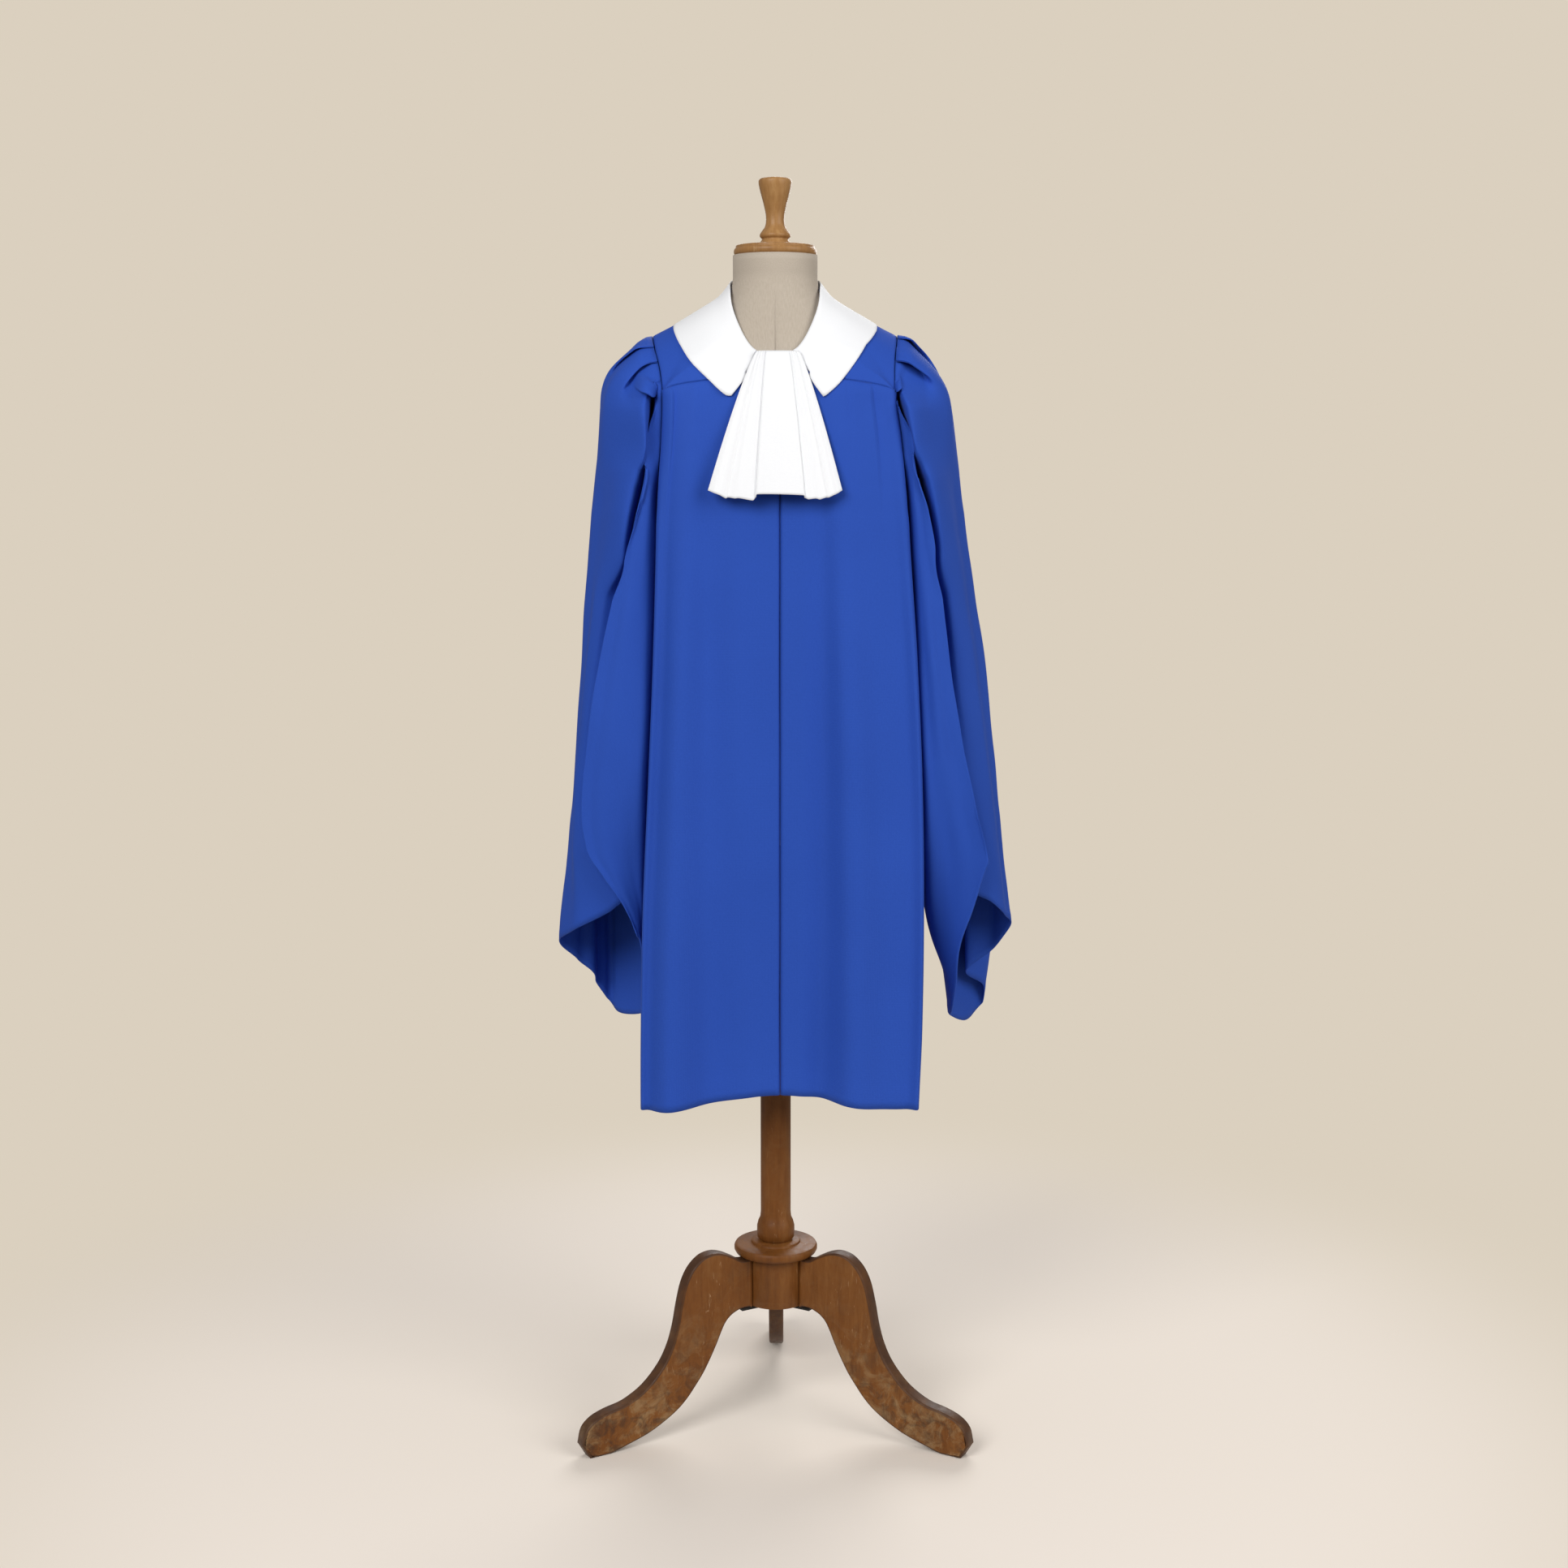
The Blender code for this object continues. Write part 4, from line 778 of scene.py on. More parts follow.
sleeve = {
    "wall": 0.0014,
    "start": 0.0003,  # from the armhole
    "clear": 0.0018,  # from the robe's body
    "length": 0.75, "halfway": 0.55,
    # height that the cloth takes to turn down from the armhole, and where round it
    "sideDrop": 0.050, "shoulderDrop": 0.075, "cornerDrop": 0.026,
    "shoulderSpan": 2.5, "corner": 4.1, "cornerSpan": 1.0,
    "unevenHeight": 0.0012, "unevenSize": 0.8, "unevenStretch": 12.0, "unevenStart": 0.1,
    "stepRound": 0.05, "stepDown": 0.01, "leastArea": 1e-9,  # steps that give the way to lift, and least area
    "middle": 0.20,  # middle of the sleeve from the pole
    "rows": 140, "rowEvenness": 0.32,  # rows lie closer at the head
    "columnsPerFold": [8, 8, 8, 12, 16, 18, 18, 16, 12, 9, 9, 9, 9, 8, 8],
    "pattern": (0.62, 0.76),
}
# height, distance from the middle of the line nearest the body, of the front
# layer's fold and of the outermost line
sleeveLines = {
    -1: [
        (1.410, 0.150, 0.150, 0.176), (1.360, 0.142, 0.150, 0.205), (1.310, 0.140, 0.156, 0.217),
        (1.250, 0.141, 0.160, 0.224), (1.190, 0.142, 0.175, 0.231), (1.100, 0.145, 0.196, 0.239),
        (1.000, 0.148, 0.218, 0.246), (0.900, 0.153, 0.234, 0.253), (0.820, 0.158, 0.241, 0.260),
        (0.771, 0.161, 0.2345, 0.265), (0.748, 0.162, 0.2195, 0.268), (0.704, 0.164, 0.1905, 0.2735),
        (0.660, 0.166, 0.1730, 0.279), (0.530, 0.169, 0.1740, 0.280),
    ],
    1: [
        (1.410, 0.152, 0.152, 0.172), (1.360, 0.150, 0.154, 0.204), (1.310, 0.153, 0.162, 0.220),
        (1.250, 0.157, 0.174, 0.229), (1.190, 0.160, 0.190, 0.237), (1.100, 0.166, 0.203, 0.250),
        (1.000, 0.171, 0.216, 0.266), (0.900, 0.177, 0.233, 0.277), (0.820, 0.181, 0.251, 0.286),
        (0.770, 0.184, 0.264, 0.291), (0.700, 0.190, 0.268, 0.299), (0.650, 0.200, 0.262, 0.305),
        (0.600, 0.218, 0.258, 0.304), (0.520, 0.228, 0.256, 0.290),
    ],
}
# place on the armhole, first line, second line, share between them, y at the
# head, half way and at the hem, height of the hem
sleeveFolds = {
    -1: [
        (0.00, "body", "ridge", 0.00, 0.000, 0.002, 0.004, 0.560),
        (1.00, "body", "ridge", 0.04, -0.070, -0.088, -0.056, 0.606),
        (2.10, "body", "ridge", 0.32, -0.096, -0.101, -0.074, 0.640),
        (3.10, "body", "ridge", 0.74, -0.099, -0.102, -0.082, 0.660),
        (3.75, "body", "ridge", 1.00, -0.099, -0.101, -0.086, 0.668),
        (4.15, "ridge", "body", 0.12, -0.070, -0.072, -0.068, 0.704),
        (4.60, "ridge", "outer", 0.30, -0.077, -0.066, -0.064, 0.690),
        (5.20, "ridge", "outer", 0.80, -0.050, -0.048, -0.048, 0.664),
        (6.00, "ridge", "outer", 1.00, 0.000, -0.008, -0.006, 0.641),
        (6.90, "ridge", "outer", 0.84, 0.046, 0.036, 0.028, 0.611),
        (7.60, "ridge", "outer", 0.63, 0.072, 0.054, 0.040, 0.589),
        (8.20, "ridge", "outer", 0.60, 0.084, 0.078, 0.060, 0.570),
        (9.20, "body", "outer", 0.49, 0.090, 0.090, 0.074, 0.544),
        (10.10, "body", "outer", 0.34, 0.086, 0.082, 0.068, 0.528),
        (11.10, "body", "outer", 0.06, 0.050, 0.050, 0.042, 0.534),
    ],
    1: [
        (0.00, "body", "ridge", 0.00, 0.000, 0.002, 0.012, 0.545),
        (1.00, "body", "ridge", 0.04, -0.070, -0.088, -0.030, 0.553),
        (2.10, "body", "ridge", 0.32, -0.096, -0.101, -0.060, 0.604),
        (3.10, "body", "ridge", 0.66, -0.099, -0.102, -0.084, 0.680),
        (3.75, "body", "ridge", 1.00, -0.099, -0.101, -0.098, 0.757),
        (4.15, "ridge", "body", 0.30, -0.072, -0.074, -0.070, 0.722),
        (4.60, "ridge", "outer", 0.20, -0.077, -0.064, -0.056, 0.702),
        (5.20, "ridge", "outer", 0.75, -0.050, -0.040, -0.034, 0.682),
        (6.00, "ridge", "outer", 1.00, 0.000, -0.004, -0.004, 0.663),
        (6.90, "ridge", "outer", 0.55, 0.046, 0.040, 0.026, 0.624),
        (7.60, "ridge", "body", 0.20, 0.066, 0.056, 0.032, 0.592),
        (8.20, "ridge", "outer", 0.46, 0.088, 0.080, 0.062, 0.566),
        (9.20, "ridge", "outer", 0.52, 0.094, 0.098, 0.080, 0.536),
        (10.10, "body", "outer", 0.40, 0.084, 0.086, 0.064, 0.519),
        (11.10, "body", "outer", 0.06, 0.046, 0.046, 0.034, 0.532),
    ],
}
layerFold = {"row": 3, "reach": 1.6}  # row of sleeveFolds up to which the front layer runs flat
# tucks at the head, counted in folds round the sleeve: place, width, overlap,
# height in metres, share of the sleeve that the overlap and the ridge run down
headTucks = {
    -1: [
        (7.55, 0.80, 0.70, 0.0105, 0.090, 0.20),
        (6.66, 0.80, 0.72, 0.0105, 0.085, 0.26),
        (9.20, 0.80, 0.55, 0.0060, 0.075, 0.24),
        (10.40, 0.80, 0.55, 0.0060, 0.070, 0.20),
    ],
    1: [
        (8.00, 0.80, 0.70, 0.0105, 0.085, 0.20),
        (6.92, 0.80, 0.72, 0.0110, 0.085, 0.24),
        (9.30, 0.80, 0.55, 0.0060, 0.080, 0.22),
        (10.30, 0.80, 0.55, 0.0060, 0.070, 0.24),
    ],
}
tuckShape = {
    "start": 0.005, "rise": 0.018,  # shares of the sleeve above the seam and down to the full height
    "crest": 0.40, "crestRun": 0.75,  # where the ridge starts to fall and how long it takes, in folds
    "dip": 0.35, "dipAt": 0.75, "dipSpan": 0.8,  # hollow beside it
}
# crossing of the front layer's fold and the outer part below the armhole's corner:
# height, then x and y of the fold, of the valley behind it and of the outer part
sleeveCross = {
    -1: [
        (1.3400, 0.1460, -0.094, 0.1500, -0.045, 0.1580, -0.104),
        (1.3060, 0.1490, -0.096, 0.1530, -0.036, 0.1570, -0.109),
        (1.2720, 0.1590, -0.096, 0.1640, -0.060, 0.1570, -0.109),
        (1.2540, 0.1600, -0.099, 0.1610, -0.050, 0.1610, -0.106),
        (1.2430, 0.1550, -0.102, 0.1570, -0.015, 0.1660, -0.101),
        (1.2220, 0.1580, -0.103, 0.1580, 0.000, 0.1715, -0.098),
        (1.1820, 0.1690, -0.103, 0.1680, -0.005, 0.1795, -0.096),
        (1.1330, 0.1835, -0.102, 0.1790, -0.050, 0.1870, -0.090),
    ],
    1: [
        (1.3410, 0.1460, -0.094, 0.1500, -0.045, 0.1560, -0.106),
        (1.3160, 0.1510, -0.096, 0.1550, -0.036, 0.1610, -0.109),
        (1.2760, 0.1700, -0.096, 0.1750, -0.060, 0.1690, -0.109),
        (1.2620, 0.1680, -0.100, 0.1690, -0.040, 0.1730, -0.106),
        (1.2500, 0.1670, -0.103, 0.1680, -0.010, 0.1785, -0.100),
        (1.2320, 0.1735, -0.103, 0.1730, 0.000, 0.1860, -0.097),
        (1.1980, 0.1855, -0.103, 0.1820, -0.005, 0.1945, -0.090),
        (1.1500, 0.1950, -0.102, 0.1870, -0.030, 0.2030, -0.082),
    ],
}
crossing = {
    "places": (3.75, 4.15, 4.60),  # of the fold, the valley and the outer part
    "top": 1.372, "start": 1.343, "full": 1.140, "end": 1.085,  # heights: whole from start down to full
    "slotRun": 0.10,
}
# slot behind the fold further down: heights where it is full and where it shuts, depth
sleeveSlots = {-1: (1.12, 0.95, 0.010), 1: (1.16, 0.84, 0.060)}
# hood below the tucks, counted in folds round the sleeve: where it starts, is
# whole, bends down, ends its bend and ends; share of the sleeve to its lip at
# the seam and further down at its outer end, height in metres, overlap
sleeveHoods = {
    -1: (5.15, 5.60, 5.30, 5.90, 6.20, 0.0060, 0.036, 0.0095, 0.0085),
    1: (5.30, 5.75, 5.40, 5.85, 6.15, 0.0080, 0.022, 0.0055, 0.0080),
}
hoodShape = {"lip": 0.0105, "grow": 0.6}  # width of the lip, and share of the way to it where it is whole
# long soft creases: place at the top and the bottom, from and to as shares of the
# length, height in metres, half width in folds
sleeveCreases = {
    -1: [
        (6.9, 7.3, 0.10, 0.95, -0.0040, 0.55), (8.6, 8.9, 0.15, 1.00, -0.0045, 0.60),
        (2.6, 2.9, 0.20, 0.85, 0.0025, 0.60), (11.8, 12.2, 0.12, 1.00, 0.0050, 0.60),
    ],
    1: [
        (7.2, 7.4, 0.10, 0.95, -0.0035, 0.55), (8.9, 8.6, 0.12, 1.00, -0.0040, 0.60),
        (2.5, 2.8, 0.20, 0.85, 0.0025, 0.60), (12.0, 12.3, 0.15, 1.00, 0.0045, 0.60),
    ],
}
creaseShape = {"grow": 0.25, "fadeFrom": 0.85, "fade": 0.45}  # shares of a crease's length


def foldPlace(side, fold, z, down):
    place, first, second, share, yHead, yMiddle, yHem, hem = fold
    row = rowAtHeight(sleeveLines[side], z)
    lines = {"body": row[1], "ridge": row[2], "outer": row[3]}
    x = mix(lines[first], lines[second], share)
    halfway = sleeve["halfway"]
    if down < halfway:
        y = mix(yHead, yMiddle, ease(down / halfway))
    else:
        y = mix(yMiddle, yHem, ease((down - halfway) / (1.0 - halfway)))
    if place not in crossing["places"]:
        return (side * x, y, z)
    which = crossing["places"].index(place)
    if which == 1:  # the valley
        full, shuts, deep = sleeveSlots[side]
        y += deep * ease((z - shuts) / (full - shuts)) * ease((crossing["start"] - z) / crossing["slotRun"])
    amount = ease((crossing["top"] - z) / (crossing["top"] - crossing["start"]))
    amount *= ease((z - crossing["end"]) / (crossing["full"] - crossing["end"]))
    if amount > 0.0:
        row = rowAtHeight(sleeveCross[side], z)
        x = mix(x, row[1 + 2 * which], amount)
        y = mix(y, row[2 + 2 * which], amount)
    return (side * x, y, z)


def roundPlace(side, around):  # place on the armhole, which goes on rising past a whole turn
    folds = sleeveFolds[side]
    count = len(folds)
    i = int(math.floor(around))
    near = []
    for k in (-1, 0, 1, 2):
        near.append((folds[(i + k) % count][0] + armhole["turn"] * math.floor((i + k) / count),))
    return curveBetween(near[0], near[1], near[2], near[3], around - i)[0]


def bodyReach(side, y, z):  # how far out the robe's body stands
    back = y > 0.0
    limit = panelLimit(z, back)
    if limit < 1.0 and abs(y) < abs(bodySection(side, limit, z, back)[1]):
        return 0.0
    best = 0.0
    before = None
    steps = 12
    for k in range(2, steps + 1):
        here = bodySection(side, k / steps, z, back)
        if before and min(abs(here[1]), abs(before[1])) <= abs(y) <= max(abs(here[1]), abs(before[1])):
            t = (y - before[1]) / (here[1] - before[1])
            best = max(best, side * mix(before[0], here[0], t))
        before = here
    return best


def sleeveBase(side, around, down):  # the sleeve without its tucks, hood and creases
    folds = sleeveFolds[side]
    count = len(folds)
    around = around % count
    place = roundPlace(side, around)
    start = armholeAt(side, place)
    start = (start[0] + side * sleeve["start"], start[1], start[2])
    hem = loopAt([(fold[-1],) for fold in folds], around)[0]
    z = mix(start[2], hem, down)
    i = int(math.floor(around))
    near = [foldPlace(side, folds[(i + k) % count], z, down) for k in (-1, 0, 1, 2)]
    if i == layerFold["row"]:
        near[3] = mixPoint(near[1], near[2], layerFold["reach"])
    base = curveBetween(near[0], near[1], near[2], near[3], around - i)
    shoulder = hump((place - armhole["shoulder"]) / sleeve["shoulderSpan"])
    corner = hump((place - sleeve["corner"]) / sleeve["cornerSpan"])
    drop = mix(mix(sleeve["sideDrop"], sleeve["shoulderDrop"], shoulder), sleeve["cornerDrop"], corner)
    t = min((start[2] - z) / drop, 1.0)
    blend = math.sqrt(max(1.0 - (1.0 - t) ** 2, 0.0))
    return (mix(start[0], base[0], blend), mix(start[1], base[1], ease(t)), z), place


def tuckAt(side, around, down):  # shift round the sleeve, and lift
    shape = tuckShape
    shift = 0.0
    lift = 0.0
    for at, width, overlap, height, run, ridge in headTucks[side]:
        away = around - at
        fade = 1.0 - ease(down / run)
        if abs(away) < width:
            shift -= overlap * fade * math.sin(math.pi * away / width)
        rise = height * (1.0 - ease(down / ridge)) * ease((down + shape["start"]) / shape["rise"])
        past = ease((away - shape["crest"] * width) / shape["crestRun"])
        lift += rise * ease(0.5 + away / width) * (1.0 - past)
        lift -= shape["dip"] * rise * hump((away + shape["dipAt"] * width) / shape["dipSpan"]) * fade
    return shift, lift


def hoodAt(side, around, down):  # the lowest tuck hangs over the rest like a hood
    start, full, bend, low, end, edge, reach, height, overlap = sleeveHoods[side]
    lip = edge + reach * ease((around - bend) / (low - bend))
    amount = ease((around - start) / (full - start)) * (1.0 - ease((around - low) / (end - low)))
    amount *= ease(down / (hoodShape["grow"] * lip))
    away = (down - lip) / hoodShape["lip"]
    shift = -overlap * amount * math.sin(math.pi * away) if abs(away) < 1.0 else 0.0
    return shift, height * amount * (1.0 - ease(0.5 + away))


def creaseAt(side, around, down):
    shape = creaseShape
    total = 0.0
    for top, bottom, start, end, height, half in sleeveCreases[side]:
        t = (down - start) / (end - start)
        if t > 0.0:
            fade = ease(t / shape["grow"]) * (1.0 - ease((t - shape["fadeFrom"]) / shape["fade"]))
            total += height * fade * hump((around - mix(top, bottom, t)) / half)
    return total


def sleevePoint(side, around, down):
    shift, lift = tuckAt(side, around, down)
    fall, hood = hoodAt(side, around, down)
    along = min(max(down + fall, 0.0), 1.0)
    point, place = sleeveBase(side, around + shift, along)
    uneven = soft(around, side * 3.0, point[2] * sleeve["unevenStretch"], sleeve["unevenSize"])
    lift += creaseAt(side, around, down) + hood
    lift += sleeve["unevenHeight"] * uneven * ease(down / sleeve["unevenStart"])
    lift += hemStep((1.0 - down) * sleeve["length"], hems["sleeve"])
    lift -= seamRoll(down * sleeve["length"], "sleeve")
    if abs(lift) > tiny:
        stepRound, stepDown = sleeve["stepRound"], sleeve["stepDown"]
        ahead = sleeveBase(side, around + shift + stepRound, along)[0]
        behind = sleeveBase(side, around + shift - stepRound, along)[0]
        below = sleeveBase(side, around + shift, min(along + stepDown, 1.0))[0]
        above = sleeveBase(side, around + shift, max(along - stepDown, 0.0))[0]
        across = Vector(ahead) - Vector(behind)
        fallen = Vector(below) - Vector(above)
        normal = across.cross(fallen) if side < 0 else fallen.cross(across)
        if normal.length > sleeve["leastArea"]:
            normal.normalize()
            point = tuple(p + n * lift for p, n in zip(point, normal))
    x, y, z = point
    place = place % armhole["turn"]
    if place < armhole["frontCorner"] or place > armhole["backCorner"]:
        x = side * max(side * x, bodyReach(side, y, z) + sleeve["clear"])
    return (x, y, z)


def makeSleeve(side, name, node):
    steps = sleeve["columnsPerFold"]
    stops = [k + i / n for k, n in enumerate(steps) for i in range(n)] + [float(len(steps))]

    def aroundAt(u):
        t = u * (len(stops) - 1)
        i = min(int(t), len(stops) - 2)
        return mix(stops[i], stops[i + 1], t - i)

    def rowAt(w):
        return mix(w * w, w, sleeve["rowEvenness"])

    def pointAt(u, down):
        return sleevePoint(side, aroundAt(u) % len(steps), down)

    def outwards(middle):
        return Vector((middle.x - side * sleeve["middle"], middle.y, 0.0))

    bm = clothGrid(len(stops) - 1, sleeve["rows"], pointAt, sleeve["pattern"], True, outwards, rowAt)
    return finishPiece(name, bm, bluePaint, node, sleeve["wall"])


sleeveLeft = makeSleeve(-1, "sleeveLeft", "sleeve_left")
sleeveRight = makeSleeve(1, "sleeveRight", "sleeve_right")
print("sleeves made")


yoke = {
    "frontEnd": 0.32, "backStart": 0.72,  # shares of the neckline at the armhole's corners
    "blur": 0.06, "blurSpan": 0.15, "blurSteps": 3,  # the corners are rounded over this share
    "softNeck": 0.2, "softEdge": 0.4,  # and less so near the neck and the seams
    "neckEnd": 0.02, "rise": 0.0005, "length": 0.09,
    "columns": 160, "rows": 30,
    "pattern": (0.70, 0.11),
}
# half width, y, height, bulge of the shoulder outside it, from centre front
neckline = [
    (0.0020, -0.0800, 1.3790, 0.0030), (0.0250, -0.0775, 1.3880, 0.0045), (0.0425, -0.0690, 1.4100, 0.0050),
    (0.0525, -0.0530, 1.4340, 0.0035), (0.0565, -0.0280, 1.4540, 0.0000), (0.0570, 0.0050, 1.4670, -0.0030),
    (0.0500, 0.0350, 1.4720, 0.0040), (0.0290, 0.0540, 1.4740, 0.0100), (0.0000, 0.0600, 1.4740, 0.0110),
]
collar = {
    "wall": 0.0010, "width": 0.078, "lift": 0.0034,
    # shares of the neckline where the neck edge and the tips begin
    "front": 0.096, "tip": {-1: 0.109, 1: 0.099},
    # the outer edge is evened over this share, which grows from nothing at the tips
    "even": 0.040, "evenFrom": 0.12, "evenOver": 0.10, "evenSteps": 4,
    # before the first share its outline alone counts, and from the second its width alone
    "flapEnd": 0.26, "widthFrom": 0.42, "reach": (0.02, 1.75), "halvings": 16,
    "sweep": 0.036, "sweepPower": 6,  # hollow of the front edges
    "closer": 0.55,  # columns lie closer at the tips
    "stand": 0.0055, "roll": 0.0030, "rollWidth": 0.22, "rollStart": 0.25,  # it rises and rolls at the neck
    "uneven": 0.0006, "unevenSize": 0.8, "unevenStart": 0.3, "softStart": 0.2,
    "flapTop": 1.392, "flapSmoothing": 24,  # the front flaps are smoothed below this height
    "columns": 170, "rows": 26,
    "pattern": (0.52, 0.078),
    # outer edge seen from the front, from its tip to the shoulder
    "outline": {
        -1: [
            (0.0440, 1.3340), (0.0520, 1.3325), (0.0600, 1.3335), (0.0815, 1.3530),
            (0.1025, 1.3740), (0.1160, 1.3950), (0.1230, 1.4120), (0.1262, 1.4300),
        ],
        1: [
            (0.0500, 1.3325), (0.0580, 1.3312), (0.0640, 1.3350), (0.0790, 1.3490),
            (0.0980, 1.3740), (0.1140, 1.4000), (0.1230, 1.4210), (0.1262, 1.4330),
        ],
    },
}


def yokeWidth(share, back):  # share of a panel's cut below a share of the neckline
    if back:
        return armholeLow[-1][3] * (1.0 - share) / (1.0 - yoke["backStart"])
    return armholeLow[-1][2] * min(share / yoke["frontEnd"], 1.0)


def yokeEdge(side, share):
    if yoke["frontEnd"] < share < yoke["backStart"]:
        over = (share - yoke["frontEnd"]) / (yoke["backStart"] - yoke["frontEnd"])
        return armholeAt(side, mix(armhole["frontCorner"], armhole["backCorner"], over))
    back = share >= yoke["backStart"]
    width = yokeWidth(share, back)
    z = yokeHeight(width, back)
    x, y = bodySection(side, width, z, back)
    return (x, y, z)


def shoulderSurface(side, share, reach, lift=0.0):  # reach 0 at the neckline, 1 at the yoke's edge
    half, startY, startZ, bulge = curveAt(neckline, share * (len(neckline) - 1))
    start = (side * half, startY, startZ)
    end = yokeEdge(side, share)
    if reach > 1.0:
        z = end[2] - (reach - 1.0) * math.dist(start, end)
        x, y = bodySection(side, yokeWidth(share, False), z)
        return (x, y - lift, z)
    way = tuple(q - p for p, q in zip(start, end))
    level = max(math.hypot(way[0], way[1]), tiny)
    out = Vector((-way[2] * way[0] / level, -way[2] * way[1] / level, level)).normalized()
    rise = 4.0 * reach * (1.0 - reach) * bulge + lift
    return tuple(p + n * rise for p, n in zip(mixPoint(start, end, reach), out))


def softShoulder(side, share, reach, lift, spread):  # the same with its corners rounded
    steps = yoke["blurSteps"]
    front = hump((share - yoke["frontEnd"]) / yoke["blurSpan"])
    back = hump((share - yoke["backStart"]) / yoke["blurSpan"])
    blur = yoke["blur"] * (front + back) * spread
    near = []
    for step in range(-steps, steps + 1):
        near.append(Vector(shoulderSurface(side, share + blur * step / steps, reach, lift)))
    return sum(near, Vector()) / len(near)


def makeYoke():
    def pointAt(u, w):
        side = -1 if u < 0.5 else 1
        share = 2.0 * u if u < 0.5 else 2.0 - 2.0 * u
        reach = max(w, yoke["neckEnd"])
        roll = seamRoll((1.0 - w) * yoke["length"], "yokeEdge")
        spread = ease(reach / yoke["softNeck"]) * ease((1.0 - reach) / yoke["softEdge"])
        x, y, z = softShoulder(side, share, reach, -roll, spread)
        if w > 1.0 - tiny:
            if yoke["frontEnd"] <= share <= yoke["backStart"]:
                x -= side * robe["gap"]
            z += yoke["rise"]
        return (x, y, z)

    bm = clothGrid(yoke["columns"], yoke["rows"], pointAt, yoke["pattern"], outwards=overShoulders)
    return finishPiece("yokeCloth", bm, bluePaint, "yoke", robe["wall"])


def collarEdge(side, share):  # reach of the outer edge: by its outline in front, by its width behind
    start = shoulderSurface(side, share, 0.0)
    low, high = collar["reach"]
    for step in range(collar["halvings"]):
        middle = 0.5 * (low + high)
        x, y, z = softShoulder(side, share, middle, collar["lift"], 1.0)
        byWidth = math.dist(start, (x, y, z)) < collar["width"]
        byOutline = z > edgeHeight(collar["outline"][side], abs(x))
        if share < collar["flapEnd"]:
            inside = byOutline
        elif share < collar["widthFrom"]:
            inside = byOutline and byWidth
        else:
            inside = byWidth
        if inside:
            low = middle
        else:
            high = middle
    return low


def collarRim(side, outer):  # evened reach of the outer edge, and a nudge onto its evened line
    steps = collar["evenSteps"]
    span = min(collar["even"] * ease((outer - collar["evenFrom"]) / collar["evenOver"]), 1.0 - outer)
    rim = Vector()
    reach = 0.0
    for k in range(-steps, steps + 1):
        place = max(outer + span * k / steps, collar["tip"][side])
        edge = collarEdge(side, place)
        rim += Vector(softShoulder(side, place, edge, collar["lift"], 1.0)) / (2 * steps + 1)
        reach += edge * max(3.0 - abs(k), 0.0) / 9.0  # 1, 2, 3, 2 and 1 ninths
    return reach, rim - Vector(softShoulder(side, outer, reach, collar["lift"], 1.0))


def makeCollar():
    rims = {}

    def pointAt(u, w):
        side = -1 if u < 0.5 else 1
        along = 2.0 * u if u < 0.5 else 2.0 - 2.0 * u
        along = along * mix(collar["closer"], 1.0, along)
        inner = mix(collar["front"], 1.0, along)
        outer = mix(collar["tip"][side], 1.0, along)
        key = (side, round(outer, 6))
        if key not in rims:
            rims[key] = collarRim(side, outer)
        edge, nudge = rims[key]
        sweep = collar["sweep"] * 4.0 * w * (1.0 - w) * (1.0 - along) ** collar["sweepPower"]
        share = mix(inner, outer, w) - sweep
        wave = collar["uneven"] * soft(side * 2.0 + along * 2.0, w, 0.0, collar["unevenSize"])
        lift = collar["lift"] + wave * ease(w / collar["unevenStart"])
        x, y, z = softShoulder(side, share, edge * w, lift, ease(w / collar["softStart"]))
        roll = (1.0 - ease(w / collar["rollWidth"])) * ease(along / collar["rollStart"])
        pull = 1.0 - collar["roll"] * roll / math.hypot(x, y)
        point = Vector((x * pull, y * pull, z + collar["stand"] * roll))
        return point + nudge * w * w

    bm = clothGrid(collar["columns"], collar["rows"], pointAt, collar["pattern"], outwards=overShoulders)
    flaps = [v for v in bm.verts if v.co.z < collar["flapTop"] and v.co.y < 0.0 and not v.is_boundary]
    for step in range(collar["flapSmoothing"]):
        bmesh.ops.smooth_vert(bm, verts=flaps, factor=0.5, use_axis_x=True, use_axis_y=True, use_axis_z=True)
    return finishPiece("collarCloth", bm, whitePaint, "collar", collar["wall"])


yokeCloth = makeYoke()
collarCloth = makeCollar()
print("yoke and collar made")


jabot = {
    "wall": 0.0010, "depth": 0.85,
    "top": 1.3865, "topY": -0.0915, "bottomY": -0.1400,
    "fall": 0.80, "spread": 0.84,  # powers of the way down, so that it opens most near its top
    "roundness": 0.5,  # from straight folds to curved ones
    "rows": 60, "columnsPerFold": 7,
    "pattern": (0.24, 0.178),
}
